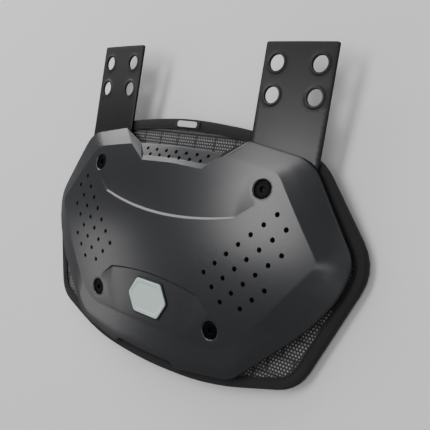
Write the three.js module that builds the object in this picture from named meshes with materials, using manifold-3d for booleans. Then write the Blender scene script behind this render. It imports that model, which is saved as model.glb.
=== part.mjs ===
// Football back plate: a domed hard shell and two bolt-on straps over a bound foam pad.
// Millimetres. X runs across the back, Y runs up it and Z points away from it. The part lies on its
// pad, as it does when it is put down, with its origin on the floor under the middle of its box.
// Its outlines are drawn flat, and lifted onto the curve of the back.

import * as THREE from 'three';
import { mergeVertices } from 'three/addons/utils/BufferGeometryUtils.js';
import Module from 'manifold-3d';

const wasm = await Module();
wasm.setup();

// Curve of the back
const WRAP_RADIUS = 1042; // the rim, the straps and the pad, side to side
const FACE_RADIUS_ACROSS = 800;
const FACE_RADIUS_UP = 436;
const FACE_CREST = 10.7; // how far above the middle the face is highest
const FACE_STAND = 8; // the face's height over the rim there

// Shell
const SHELL_WIDTH = 283.4;
const SHELL_RISE = 75.8; // from the middle up to its shoulders
const SHELL_FALL = 81.1; // from the middle down to its lobes
const SHELL_WALL = 2.5;
const SHELL_TURN = 1.3; // how much further back its rim turns at its sides
const BORDER_SIDE = 17.3; // width of the bevelled border
const BORDER_TOP = 11.6;
const BORDER_BOTTOM = 21.5;

// Steps in the face
const CRESCENT_DEPTH = 1.2;
const CRESCENT_RUN = 2.1;
const BADGE_PANEL_DEPTH = 0.8;
const BADGE_PANEL_RUN = 1.2;

// Vents
const VENT_DIAMETER = 3;
const VENT_STEP_ALONG = 7.55;
const VENT_STEP_ACROSS = 7.8;
const RECESS_VENT_STEP = 9.9;

// Straps
const STRAP_WIDTH = 50;
const STRAP_SPREAD = 83.1; // from the middle to a strap's centre line
const STRAP_THICKNESS = 2;
const STRAP_REACH = 63.4; // length that stands above the shell
const STRAP_TUCK = 12; // length below its screw
const STRAP_LEAN = 1.6; // how far its tip leans forward
const BOLT_HOLE = 10.3;
const BOLT_SPACING_ACROSS = 30;
const BOLT_SPACING_UP = 20;
const BOLT_HOLE_TO_TIP = 13.3;

// Screws
const SCREW_UPPER_INSET = 4.3; // inwards from the strap's centre line
const SCREW_UPPER_HEIGHT = 47.1;
const SCREW_LOWER_SPREAD = 57.6;
const SCREW_LOWER_HEIGHT = -47.1;
const SCREW_HEAD = 11.4;
const SCREW_HEAD_HEIGHT = 2.2;
const SCREW_HEAD_SINK = 0.9;
const SCREW_SHANK = 5;
const SCREW_SOCKET = 3.6;
const SCREW_SOCKET_DEPTH = 1.4;
const SCREW_BITE = 6; // how far a shank goes into the pad
const BOSS_DIAMETER = 18;

// Pad and its binding
const PAD_BORDER_SIDE = 9.5; // how far it reaches past the shell
const PAD_BORDER_TOP = 12;
const PAD_BORDER_BOTTOM = 6.7;
const PAD_EDGE = 3.2;
const PAD_THICKNESS = 9;
const PAD_SWELL = 0.35; // how much of its extra thickness it has a third of the way in
const PAD_SHOULDER = 14; // run of the slope from its thin edge to its full thickness
const BINDING_WIDTH = 7.5;
const BINDING_TAPE = 1;
const BINDING_ROUND = 1.5;

// Badge and label
const BADGE_WIDTH = 40;
const BADGE_HEIGHT = 26;
const BADGE_THICKNESS = 1.2;
const BADGE_ROUND = 2;
const BADGE_SEAT = 0.5; // how far up its panel its middle is
const LABEL_WIDTH = 24;
const LABEL_HEIGHT = 5.2;
const LABEL_DROP = 0.8; // from the binding's rounded edge
const LABEL_ROUND = 0.8;
const LABEL_THICKNESS = 0.8;

// Fit and fineness
const GAP = 0.3;
const STRAP_ROWS = 5;
const CORNER_STEPS = 3;
const ARC_STEPS = 4; // stations from the middle of a step line to its corner
const ROUND_SIDES = 16;
const SHANK_SIDES = 10;
const VENT_SIDES = 8;
const SOCKET_SIDES = 6;
const LARGEST_CUT = 0.45; // share of an edge that a corner's rounding may take
const INNER_RINGS = [0.72, 0.42, 0.14]; // rings inside an outline, in shares of it
const PANEL_OUT = 0.12; // how far a panel's cutter stands out of the face where the panel ends
const OVER = 3; // how far a cutter stands past what it cuts

const SHELL_HALF = SHELL_WIDTH / 2;
const FACE_HALF = SHELL_HALF - BORDER_SIDE;
const FACE_RISE = SHELL_RISE - BORDER_TOP;
const FACE_FALL = SHELL_FALL - BORDER_BOTTOM;

// Levels over the rim's front, going back towards the wearer
const STRAP_FRONT = -SHELL_WALL - GAP;
const STRAP_BACK = STRAP_FRONT - STRAP_THICKNESS;
const BINDING_FRONT = STRAP_BACK - GAP;
const PAD_FRONT = BINDING_FRONT - BINDING_TAPE - GAP;
const PAD_EDGE_BACK = PAD_FRONT - PAD_EDGE;
const PAD_BACK = PAD_FRONT - PAD_THICKNESS;
const BINDING_BACK = PAD_EDGE_BACK - GAP - BINDING_TAPE;

const rimHeight = (x) => -x * x / (2 * WRAP_RADIUS);
const faceHeight = (x, y) => FACE_STAND - x * x / (2 * FACE_RADIUS_ACROSS)
  - (y - FACE_CREST) ** 2 / (2 * FACE_RADIUS_UP);
const shellRimHeight = (x) => rimHeight(x) - SHELL_TURN * (x / SHELL_HALF) ** 8;
const strapHeight = (x, y) => rimHeight(x) + STRAP_LEAN * Math.max(0, y - SHELL_RISE) / STRAP_REACH;
const onRim = (level) => (x) => rimHeight(x) + level;
const onStrap = (level) => (x, y) => strapHeight(x, y) + level;
const onFace = (level) => (x, y) => faceHeight(x, y) + level;

// Outlines: the corners of the right half from the top to the bottom, in shares of the half width and
// of the rise above the middle (or, where negative, of the fall below it). cut is how far each
// corner's rounding reaches along its edges, in mm.
const RIM_OUTLINE = [
  { across: 0, up: 0.886, cut: 6 },
  { across: 0.281, up: 0.872, cut: 1.5 },
  { across: 0.423, up: 1, cut: 2 },
  { across: 0.745, up: 0.906, cut: 11 },
  { across: 1, up: 0.191, cut: 11 },
  { across: 0.963, up: -0.080, cut: 8 },
  { across: 0.898, up: -0.265, cut: 8 },
  { across: 0.821, up: -0.432, cut: 10 },
  { across: 0.542, up: -0.914, cut: 8 },
  { across: 0.223, up: -1, cut: 1.5 },
  { across: 0.188, up: -0.960, cut: 1.5 },
  { across: 0, up: -0.970, cut: 6 },
];
// The face's outline also holds the fold between it and the rim: how far out it is, and how much of the
// drop lies behind it. The recess has a short steep ledge and a flat floor, and the rest is a bevel.
const FACE_OUTLINE = [
  { across: 0, up: 0.849, cut: 6, out: 0.26, drop: 0.47 },
  { across: 0.236, up: 0.832, cut: 1.5, out: 0.26, drop: 0.47 },
  { across: 0.368, up: 1, cut: 2, out: 0.5, drop: 0.5 },
  { across: 0.699, up: 0.913, cut: 6, out: 0.5, drop: 0.46 },
  { across: 1, up: 0.162, cut: 8, out: 0.5, drop: 0.46 },
  { across: 0.941, up: 0.006, cut: 6, out: 0.5, drop: 0.46 },
  { across: 0.864, up: -0.211, cut: 8, out: 0.5, drop: 0.46 },
  { across: 0.78, up: -0.453, cut: 8, out: 0.5, drop: 0.46 },
  { across: 0.555, up: -1, cut: 16, out: 0.5, drop: 0.46 },
  { across: 0.253, up: -1, cut: 1.5, out: 0.5, drop: 0.46 },
  { across: 0.213, up: -1, cut: 1.5, out: 0.5, drop: 0.46 },
  { across: 0, up: -1, cut: 6, out: 0.5, drop: 0.46 },
];
const PAD_OUTLINE = [
  { across: 0, up: 1, cut: 25 },
  { across: 0.410, up: 0.946, cut: 25 },
  { across: 0.714, up: 0.808, cut: 12 },
  { across: 1, up: 0.160, cut: 18 },
  { across: 0.786, up: -0.760, cut: 13 },
  { across: 0.377, up: -0.967, cut: 25 },
  { across: 0, up: -1, cut: 20 },
];

const BADGE_OUTLINE = [
  { across: 1, up: 0 }, { across: 0.62, up: 1 }, { across: -0.62, up: 1 },
  { across: -1, up: 0 }, { across: -0.62, up: -1 }, { across: 0.62, up: -1 },
];

// Step lines across the face, in shares of its half width and of its rise or fall: a shallow arc from
// the middle to a corner, then a straight run to the end, where the step dies away. The panel is level
// with the face again at its far line.
const CRESCENT = {
  middle: 0.283,
  corner: { across: 0.509, up: 0.408 },
  end: { across: 0.613, up: 0.569 },
  far: 0.84,
};
const BADGE_PANEL = {
  middle: -0.388,
  corner: { across: 0.342, up: -0.453 },
  end: { across: 0.437, up: -0.612 },
  far: -0.965,
};

// Vents: rows of a diamond lattice on each side, and rows across the recess floor
const VENT_START = { across: 0.748, up: 0.528 };
const VENT_ROWS = [
  { first: 0, count: 7 },
  { first: 0, count: 7 },
  { first: 1, count: 6 },
  { first: 3, count: 3 },
];
const RECESS_VENT_ROWS = [
  { count: 7, out: 0.64 },
  { count: 6, out: 0.33 },
];

const metal = (color) => new THREE.MeshStandardMaterial({ color, roughness: 0.35, metalness: 0.9 });
const plastic = (color, roughness) => new THREE.MeshStandardMaterial({ color, roughness, metalness: 0 });

// Places a table's shares on the board, and adds the left half
function placed(outline, half, rise, fall) {
  const right = outline.map(({ across, up, ...rest }) => ({
    x: across * half,
    y: up * (up > 0 ? rise : fall),
    ...rest,
  }));
  const left = right.filter(({ x }) => x > 0).reverse().map((corner) => ({ ...corner, x: -corner.x }));
  return [...right, ...left].reverse();
}

// A loop with rounded corners, anticlockwise, inset by a distance. A corner's rounding never reaches
// the middle of an edge.
function roundedLoop(corners, inset = 0) {
  const points = corners.map(({ x, y }) => new THREE.Vector2(x, y));
  const count = points.length;
  return corners.flatMap(({ cut }, i) => {
    const back = points[(i + count - 1) % count].clone().sub(points[i]);
    const ahead = points[(i + 1) % count].clone().sub(points[i]);
    const longest = Math.min(back.length(), ahead.length()) * LARGEST_CUT;
    back.normalize();
    ahead.normalize();
    const turn = Math.PI - Math.acos(THREE.MathUtils.clamp(back.dot(ahead), -1, 1));
    const slide = inset * Math.tan(turn / 2) * (Math.sign(ahead.cross(back)) || 1);
    const corner = points[i].clone()
      .addScaledVector(new THREE.Vector2(-ahead.y, ahead.x), inset)
      .addScaledVector(ahead, slide);
    const reach = Math.max(Math.min(cut, longest) - slide, cut / 4);
    const from = corner.clone().addScaledVector(back, reach);
    const to = corner.clone().addScaledVector(ahead, reach);
    return new THREE.QuadraticBezierCurve(from, corner, to).getPoints(CORNER_STEPS);
  });
}

const middleOf = (ring) => ring
  .reduce((sum, point) => sum.add(point), new THREE.Vector3())
  .divideScalar(ring.length);
const lift = (loop, height) => loop.map(({ x, y }) => new THREE.Vector3(x, y, height(x, y)));

// A closed body through rings of equal count, from its underside out and up to its top, with both ends
// filled to their middle. It closes on itself where it is a ring round a hole.
function loft(rings, { closed = false } = {}) {
  const count = rings[0].length;
  const points = rings.flat();
  const index = [];
  const spans = closed ? rings.length : rings.length - 1;
  for (let ring = 0; ring < spans; ring += 1) {
    for (let i = 0; i < count; i += 1) {
      const low = ring * count;
      const high = ((ring + 1) % rings.length) * count;
      const next = (i + 1) % count;
      index.push(low + i, low + next, high + next, low + i, high + next, high + i);
    }
  }
  if (!closed) {
    const top = (rings.length - 1) * count;
    const [under, over] = [rings[0], rings.at(-1)].map((ring) => points.push(middleOf(ring)) - 1);
    for (let i = 0; i < count; i += 1) {
      const next = (i + 1) % count;
      index.push(next, i, under, top + i, top + next, over);
    }
  }
  const positions = points.flatMap((point) => point.toArray());
  const geometry = new THREE.BufferGeometry();
  geometry.setAttribute('position', new THREE.Float32BufferAttribute(positions, 3));
  geometry.setIndex(index);
  return geometry;
}

// Rings of one outline from its edge to near its middle, so that what they fill follows a curve
const filled = (loop, height) => [1, ...INNER_RINGS].map((share) => lift(
  loop.map(({ x, y }) => ({ x: x * share, y: y * share })),
  height,
));

const prism = (loop, low, high) => loft([lift(loop, low), lift(loop, high)]);

const circle = (x, y, diameter, sides = ROUND_SIDES) => {
  const radius = diameter / 2;
  return new THREE.EllipseCurve(x, y, radius, radius).getPoints(sides).slice(1);
};

function solid(geometry) {
  const bare = geometry.clone();
  bare.deleteAttribute('normal');
  bare.deleteAttribute('uv');
  const merged = mergeVertices(bare, 1e-4);
  return new wasm.Manifold(new wasm.Mesh({
    numProp: 3,
    vertProperties: new Float32Array(merged.attributes.position.array),
    triVerts: new Uint32Array(merged.index.array),
  }));
}

function surface(body) {
  const { vertProperties, triVerts } = body.getMesh();
  const geometry = new THREE.BufferGeometry();
  geometry.setAttribute('position', new THREE.Float32BufferAttribute(vertProperties, 3));
  geometry.setIndex([...triVerts]);
  return geometry;
}

function faceted(geometry) {
  const loose = geometry.toNonIndexed();
  loose.computeVertexNormals();
  return loose;
}

function piece(name, geometry, material) {
  const mesh = new THREE.Mesh(geometry, material);
  mesh.name = name;
  return mesh;
}

const SCREW_UPPER_SPREAD = STRAP_SPREAD - SCREW_UPPER_INSET;
const SCREWS = [
  { name: 'screw_upper_right', x: SCREW_UPPER_SPREAD, y: SCREW_UPPER_HEIGHT, seat: STRAP_FRONT },
  { name: 'screw_upper_left', x: -SCREW_UPPER_SPREAD, y: SCREW_UPPER_HEIGHT, seat: STRAP_FRONT },
  { name: 'screw_lower_right', x: SCREW_LOWER_SPREAD, y: SCREW_LOWER_HEIGHT, seat: PAD_FRONT },
  { name: 'screw_lower_left', x: -SCREW_LOWER_SPREAD, y: SCREW_LOWER_HEIGHT, seat: PAD_FRONT },
];

const HEAD_SEAT = -SCREW_HEAD_SINK - SCREW_HEAD_HEIGHT - GAP;
const HEAD_HOLE = SCREW_HEAD + 2 * GAP;
const SHANK_HOLE = SCREW_SHANK + 2 * GAP;

// The stations of a step line from its left end to its right one
function stepLine({ middle, corner, end }) {
  const run = Math.sign(middle) > 0 ? FACE_RISE : FACE_FALL;
  const arc = Array.from({ length: ARC_STEPS + 1 }, (_, i) => ({
    x: (i / ARC_STEPS) * corner.across * FACE_HALF,
    y: (middle + (corner.up - middle) * (i / ARC_STEPS) ** 2) * run,
    share: 1,
  }));
  const right = [...arc, { x: end.across * FACE_HALF, y: end.up * run, share: 0 }];
  const left = right.slice(1).reverse().map((station) => ({ ...station, x: -station.x }));
  return { stations: [...left, ...right], far: run };
}

// What is cut away for a shallow panel: full depth at its step line, and level with the face again
// near its far line
function panelCutter(table, depth, run) {
  const { stations, far } = stepLine(table);
  const side = Math.sign(table.far - table.middle);
  const end = table.far * far;
  return solid(loftAlong(stations.map(({ x, y, share }) => {
    const section = [
      [y - side * run * PANEL_OUT / depth, PANEL_OUT],
      [y + side * run, -depth * share],
      [THREE.MathUtils.lerp(y + side * run, end, 0.5), -depth * share / 2],
      [end, PANEL_OUT],
      [end, OVER],
      [y - side * run * PANEL_OUT / depth, OVER],
    ].map(([across, level]) => new THREE.Vector3(x, across, faceHeight(x, across) + level));
    return side > 0 ? section : section.reverse();
  })));
}

// Closed bodies through upright sections that follow each other along X, or along Y
const loftAlong = (sections) => turned(sections, ({ x, y, z }) => [y, z, x], ({ x, y, z }) => [z, x, y]);
const loftUp = (sections) => turned(sections, ({ x, y, z }) => [-x, z, y], ({ x, y, z }) => [-x, z, y]);

function turned(sections, lay, stand) {
  const laid = (point) => new THREE.Vector3(...lay(point));
  const geometry = loft(sections.map((section) => section.map(laid)));
  const place = geometry.attributes.position;
  const point = new THREE.Vector3();
  for (let i = 0; i < place.count; i += 1) {
    place.setXYZ(i, ...stand(point.fromBufferAttribute(place, i)));
  }
  return geometry;
}

const mirrorAcross = (points) => points.flatMap(({ x, y }) => [{ x, y }, { x: -x, y }]);

function sideVents() {
  const right = VENT_ROWS.flatMap(({ first, count }, row) => Array.from({ length: count }, (_, i) => ({
    x: VENT_START.across * FACE_HALF + row * VENT_STEP_ACROSS - (first + i) * VENT_STEP_ALONG,
    y: VENT_START.up * FACE_RISE - row * VENT_STEP_ACROSS - (first + i) * VENT_STEP_ALONG,
  })));
  return mirrorAcross(right);
}

function recessVents() {
  const [face] = FACE_OUTLINE;
  const [rim] = RIM_OUTLINE;
  return RECESS_VENT_ROWS.flatMap(({ count, out }) => Array.from({ length: count }, (_, i) => ({
    x: (i - (count - 1) / 2) * RECESS_VENT_STEP,
    y: THREE.MathUtils.lerp(face.up * FACE_RISE, rim.up * SHELL_RISE, out),
  })));
}

function shellGeometry() {
  const rim = roundedLoop(placed(RIM_OUTLINE, SHELL_HALF, SHELL_RISE, SHELL_FALL));
  const faceCorners = placed(FACE_OUTLINE, FACE_HALF, FACE_RISE, FACE_FALL);
  const face = roundedLoop(faceCorners);
  const rimFront = lift(rim, shellRimHeight);
  const faceFront = filled(face, faceHeight);
  const foldFront = faceFront[0].map((edge, i) => {
    const { out, drop } = faceCorners[Math.floor(i / (CORNER_STEPS + 1))];
    const place = edge.clone().lerp(rimFront[i], out);
    const level = THREE.MathUtils.lerp(edge.z - faceHeight(edge.x, edge.y),
      rimFront[i].z - faceHeight(rimFront[i].x, rimFront[i].y), drop);
    return place.setZ(faceHeight(place.x, place.y) + level);
  });
  const behind = (ring) => ring.map(({ x, y, z }) => new THREE.Vector3(x, y, z - SHELL_WALL));
  const front = [rimFront, foldFront, ...faceFront];
  let body = solid(loft([...front.map(behind).reverse(), ...front]));
  for (const { x, y, seat } of SCREWS) {
    const boss = prism(circle(x, y, BOSS_DIAMETER), onRim(seat + GAP), onFace(-SHELL_WALL / 2));
    body = body.add(solid(boss));
  }
  const through = ({ x, y }, diameter, sides) => solid(prism(
    circle(x, y, diameter, sides),
    onRim(PAD_BACK),
    onFace(OVER),
  ));
  const cutters = [
    panelCutter(CRESCENT, CRESCENT_DEPTH, CRESCENT_RUN),
    panelCutter(BADGE_PANEL, BADGE_PANEL_DEPTH, BADGE_PANEL_RUN),
    ...SCREWS.map(({ x, y }) => solid(prism(circle(x, y, HEAD_HOLE), onFace(HEAD_SEAT), onFace(OVER)))),
    ...SCREWS.map((screw) => through(screw, SHANK_HOLE, SHANK_SIDES)),
    ...[...sideVents(), ...recessVents()].map((vent) => through(vent, VENT_DIAMETER, VENT_SIDES)),
  ];
  return faceted(surface(cutters.reduce((rest, cutter) => rest.subtract(cutter), body)));
}

// Head with a six-sided socket, and a plain shank that ends in the pad
function screwGeometry({ x, y }) {
  const low = HEAD_SEAT + GAP;
  const top = -SCREW_HEAD_SINK;
  const head = prism(circle(x, y, SCREW_HEAD), onFace(low), onFace(top));
  const shank = prism(
    circle(x, y, SCREW_SHANK, SHANK_SIDES),
    onRim(PAD_FRONT - SCREW_BITE),
    onFace(low + SCREW_HEAD_HEIGHT / 2),
  );
  const socket = prism(
    circle(x, y, SCREW_SOCKET, SOCKET_SIDES),
    onFace(top - SCREW_SOCKET_DEPTH),
    onFace(OVER),
  );
  return faceted(surface(solid(head).add(solid(shank)).subtract(solid(socket))));
}

// A strip with four bolt holes near its tip, and a hole for its screw
function strapGeometry(side) {
  const tip = SHELL_RISE + STRAP_REACH;
  const foot = SCREW_UPPER_HEIGHT - STRAP_TUCK;
  const middle = side * STRAP_SPREAD;
  const half = STRAP_WIDTH / 2;
  const shares = Array.from({ length: STRAP_ROWS + 1 }, (_, i) => i / STRAP_ROWS);
  let body = solid(loftUp(shares.map((up) => {
    const y = THREE.MathUtils.lerp(foot, tip, up);
    const across = [-1, -0.5, 0, 0.5, 1].map((share) => ({ x: middle + share * half, y }));
    return [...lift(across, onStrap(STRAP_FRONT)), ...lift(across.reverse(), onStrap(STRAP_BACK))];
  })));
  const cut = (x, y, diameter, sides) => {
    const cutter = prism(circle(x, y, diameter, sides), onRim(STRAP_BACK - OVER), onRim(OVER));
    body = body.subtract(solid(cutter));
  };
  for (const column of [-0.5, 0.5]) {
    for (const row of [0, 1]) {
      const y = tip - BOLT_HOLE_TO_TIP - row * BOLT_SPACING_UP;
      cut(middle + column * BOLT_SPACING_ACROSS, y, BOLT_HOLE, ROUND_SIDES);
    }
  }
  cut(side * SCREW_UPPER_SPREAD, SCREW_UPPER_HEIGHT, SHANK_HOLE, SHANK_SIDES);
  return faceted(surface(body));
}

const PAD_CORNERS = placed(
  PAD_OUTLINE,
  SHELL_HALF + PAD_BORDER_SIDE,
  SHELL_RISE + PAD_BORDER_TOP,
  SHELL_FALL + PAD_BORDER_BOTTOM,
);

// A thin edge that the binding grips, and a full middle that bulges towards the wearer
function padGeometry() {
  const ring = (inset, level) => lift(roundedLoop(PAD_CORNERS, inset), onRim(level));
  const edge = BINDING_TAPE + GAP;
  const half = THREE.MathUtils.lerp(PAD_EDGE_BACK, PAD_BACK, PAD_SWELL);
  let body = solid(loft([
    ...filled(roundedLoop(PAD_CORNERS, BINDING_WIDTH + PAD_SHOULDER), onRim(PAD_BACK)).reverse(),
    ring(BINDING_WIDTH + PAD_SHOULDER / 3, half),
    ring(BINDING_WIDTH + GAP, PAD_EDGE_BACK),
    ring(edge, PAD_EDGE_BACK),
    ...filled(roundedLoop(PAD_CORNERS, edge), onRim(PAD_FRONT)),
  ]));
  for (const { x, y } of SCREWS) {
    const bottom = PAD_FRONT - SCREW_BITE - GAP;
    const bore = prism(circle(x, y, SHANK_HOLE, SHANK_SIDES), onRim(bottom), onRim(OVER));
    body = body.subtract(solid(bore));
  }
  return faceted(surface(body));
}

// Tape folded round the pad's edge, front and back
function bindingGeometry() {
  const profile = [
    [BINDING_WIDTH, BINDING_BACK],
    [BINDING_ROUND, BINDING_BACK],
    [0, BINDING_BACK + BINDING_ROUND],
    [0, BINDING_FRONT - BINDING_ROUND],
    [BINDING_ROUND, BINDING_FRONT],
    [BINDING_WIDTH, BINDING_FRONT],
    [BINDING_WIDTH, BINDING_FRONT - BINDING_TAPE],
    [BINDING_TAPE, BINDING_FRONT - BINDING_TAPE],
    [BINDING_TAPE, BINDING_BACK + BINDING_TAPE],
    [BINDING_WIDTH, BINDING_BACK + BINDING_TAPE],
  ];
  const rings = profile.map(([inset, level]) => lift(roundedLoop(PAD_CORNERS, inset), onRim(level)));
  return faceted(loft(rings, { closed: true }));
}

// A plain six-sided badge, seated on its panel
function badgeGeometry() {
  const top = BADGE_PANEL.middle * FACE_FALL - BADGE_PANEL_RUN;
  const bottom = BADGE_PANEL.far * FACE_FALL;
  const centre = THREE.MathUtils.lerp(bottom, top, BADGE_SEAT);
  const corners = BADGE_OUTLINE.map(({ across, up }) => ({
    x: across * BADGE_WIDTH / 2,
    y: centre + up * BADGE_HEIGHT / 2,
    cut: BADGE_ROUND,
  }));
  const floor = (x, y) => faceHeight(x, y) - BADGE_PANEL_DEPTH * (y - bottom) / (top - bottom) + GAP;
  return faceted(prism(roundedLoop(corners), floor, (x, y) => floor(x, y) + BADGE_THICKNESS));
}

// A blank label sewn on the front of the binding, at the top
function labelGeometry() {
  const top = SHELL_RISE + PAD_BORDER_TOP - BINDING_ROUND - LABEL_DROP;
  const corners = [[-1, -1], [1, -1], [1, 0], [-1, 0]].map(([across, up]) => ({
    x: across * LABEL_WIDTH / 2,
    y: top + up * LABEL_HEIGHT,
    cut: LABEL_ROUND,
  }));
  const low = BINDING_FRONT + GAP;
  return faceted(prism(roundedLoop(corners), onRim(low), onRim(low + LABEL_THICKNESS)));
}

const plate = new THREE.Group();
plate.add(piece('shell', shellGeometry(), plastic('#3d3e40', 0.42)));
for (const screw of SCREWS) plate.add(piece(screw.name, screwGeometry(screw), metal('#0b0b0c')));
plate.add(piece('strap_right', strapGeometry(1), plastic('#3a3a3b', 0.5)));
plate.add(piece('strap_left', strapGeometry(-1), plastic('#3a3a3b', 0.5)));
plate.add(piece('pad', padGeometry(), plastic('#4a4b4c', 0.95)));
plate.add(piece('binding', bindingGeometry(), plastic('#222222', 0.9)));
plate.add(piece('badge', badgeGeometry(), plastic('#cfded8', 0.55)));
plate.add(piece('label', labelGeometry(), plastic('#2a2a2a', 0.9)));

// The balance point of all the pieces together, taken as equally dense
function balance(group) {
  const [a, b, c] = [new THREE.Vector3(), new THREE.Vector3(), new THREE.Vector3()];
  const total = { volume: 0, y: 0 };
  group.traverse(({ geometry }) => {
    if (!geometry) return;
    const place = geometry.attributes.position;
    for (let i = 0; i < place.count; i += 3) {
      [a, b, c].forEach((corner, k) => corner.fromBufferAttribute(place, i + k));
      const volume = a.dot(b.clone().cross(c)) / 6;
      total.volume += volume;
      total.y += volume * (a.y + b.y + c.y) / 4;
    }
  });
  return total.y / total.volume;
}

// Tips the plate about X until the two lowest places on either side of its balance point are level,
// and sets it on the floor
function layDown(group) {
  const points = [];
  group.traverse(({ geometry }) => {
    if (!geometry) return;
    const place = geometry.attributes.position;
    for (let i = 0; i < place.count; i += 1) points.push({ y: place.getY(i), z: place.getZ(i) });
  });
  const middle = balance(group);
  const hull = [];
  for (const point of points.sort((p, q) => p.y - q.y || p.z - q.z)) {
    const turns = (p, q) => (q.y - p.y) * (point.z - p.z) - (q.z - p.z) * (point.y - p.y);
    while (hull.length > 1 && turns(hull.at(-2), hull.at(-1)) <= 0) hull.pop();
    hull.push(point);
  }
  const right = hull.findIndex(({ y }) => y > middle);
  const [p, q] = [hull[right - 1], hull[right]];
  group.rotation.x = -Math.atan2(q.z - p.z, q.y - p.y);
  const box = new THREE.Box3().setFromObject(group, true);
  group.position.set(0, -(box.min.y + box.max.y) / 2, -box.min.z);
}

layDown(plate);
const group = new THREE.Group();
group.add(plate);

export default group;
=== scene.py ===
"""Looks of the football back plate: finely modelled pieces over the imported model, and a studio.

The plate's own frame has x across the back, y up it and z out of the face, in millimetres. Every outline
is drawn flat in it and lifted onto the curve of the back, as in the part's source. The plate lies on its
pad, so PlateFrame tips that frame onto the floor and gives metres.
"""

from __future__ import annotations

import logging
import math
from dataclasses import dataclass, replace
from enum import Enum
from typing import Callable, Iterable, Sequence

import bmesh
import bpy
from mathutils import Matrix, Vector
from mathutils.geometry import delaunay_2d_cdt
from mathutils.kdtree import KDTree

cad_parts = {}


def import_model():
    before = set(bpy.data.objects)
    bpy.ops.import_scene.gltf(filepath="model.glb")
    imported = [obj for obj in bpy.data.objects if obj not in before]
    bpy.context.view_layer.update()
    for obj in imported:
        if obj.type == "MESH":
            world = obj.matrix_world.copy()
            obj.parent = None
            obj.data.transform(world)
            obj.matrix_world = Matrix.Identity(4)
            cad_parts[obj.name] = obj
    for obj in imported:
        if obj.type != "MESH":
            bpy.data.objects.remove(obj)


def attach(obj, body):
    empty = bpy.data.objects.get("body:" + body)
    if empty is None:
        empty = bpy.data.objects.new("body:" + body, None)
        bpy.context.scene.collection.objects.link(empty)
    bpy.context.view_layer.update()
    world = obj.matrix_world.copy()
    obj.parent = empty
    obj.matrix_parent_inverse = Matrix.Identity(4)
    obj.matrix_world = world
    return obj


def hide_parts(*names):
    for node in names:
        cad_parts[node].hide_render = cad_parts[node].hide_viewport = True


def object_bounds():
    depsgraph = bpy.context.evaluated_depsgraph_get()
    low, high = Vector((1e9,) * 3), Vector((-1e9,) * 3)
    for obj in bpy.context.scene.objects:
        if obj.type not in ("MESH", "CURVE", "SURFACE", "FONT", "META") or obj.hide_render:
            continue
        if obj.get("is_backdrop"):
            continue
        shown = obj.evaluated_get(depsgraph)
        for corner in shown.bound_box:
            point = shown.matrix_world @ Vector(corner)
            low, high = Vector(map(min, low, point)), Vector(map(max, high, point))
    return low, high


LOG = logging.getLogger("back_plate")
MM = 0.001

Height = Callable[[float, float], float]
Point = tuple[float, float]
Triple = tuple[float, float, float]
Ring = list[Triple]
Filled = tuple[list[Point], list[tuple[int, ...]]]
Corners = Sequence[tuple["Stop", float]]
Copy = tuple[Vector, Vector, float]
Socket = bpy.types.NodeSocket
Links = dict[str | int, object]
Recipe = Callable[["Bench", bpy.types.Node], dict[str, Socket]]
Piece = bpy.types.Object


class Side(Enum):
    """A half of the plate, by the sign of its x."""

    RIGHT = 1
    LEFT = -1


@dataclass(frozen=True)
class PlateFrame:
    """Where the plate's own frame lies on the floor."""

    tilt: float = math.radians(2.515)
    back: float = -26.3
    up: float = 22.59

    def place(self, x: float, y: float, z: float) -> Vector:
        """Give a place in the plate's frame as metres in the model's frame.

        Args:
            x: Millimetres across the back.
            y: Millimetres up the back.
            z: Millimetres out of the face.

        Returns:
            The same place in the model's frame.
        """
        cos, sin = math.cos(self.tilt), math.sin(self.tilt)
        return Vector((x, cos * y - sin * z + self.back, sin * y + cos * z + self.up)) * MM

    def turn(self, lean: Vector) -> Vector:
        """Give a direction in the plate's frame as one in the model's frame."""
        return Matrix.Rotation(self.tilt, 3, "X") @ lean


@dataclass(frozen=True)
class BackCurve:
    """The curved levels that every piece is lifted onto."""

    wrap_radius: float = 1042
    face_radius_across: float = 800
    face_radius_up: float = 436
    face_crest: float = 10.7
    face_stand: float = 8
    shell_turn: float = 1.3
    strap_lean: float = 1.6

    def rim(self, x: float, y: float = 0) -> float:
        """Give the height of the rim's curve."""
        return -x * x / (2 * self.wrap_radius)

    def face(self, x: float, y: float) -> float:
        """Give the height of the dome."""
        across = x * x / (2 * self.face_radius_across)
        return self.face_stand - across - (y - self.face_crest) ** 2 / (2 * self.face_radius_up)

    def face_lean(self, x: float, y: float) -> Vector:
        """Give the direction that the dome faces at a place."""
        across, up = x / self.face_radius_across, (y - self.face_crest) / self.face_radius_up
        return Vector((across, up, 1)).normalized()


@dataclass(frozen=True)
class Corner:
    """A corner of an outline's right half.

    It is placed in shares of the half width and of the rise, or where negative of the fall. cut is how far
    its rounding reaches along its edges. out and drop say where the border's fold is, and lift raises it.
    soft and bend are how widely the face's edge and that fold are rounded over. All three are millimetres.
    """

    across: float
    up: float
    cut: float
    out: float = 0.5
    drop: float = 0.46
    soft: float = 1.0
    bend: float = 4.0
    lift: float = 0.0


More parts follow.
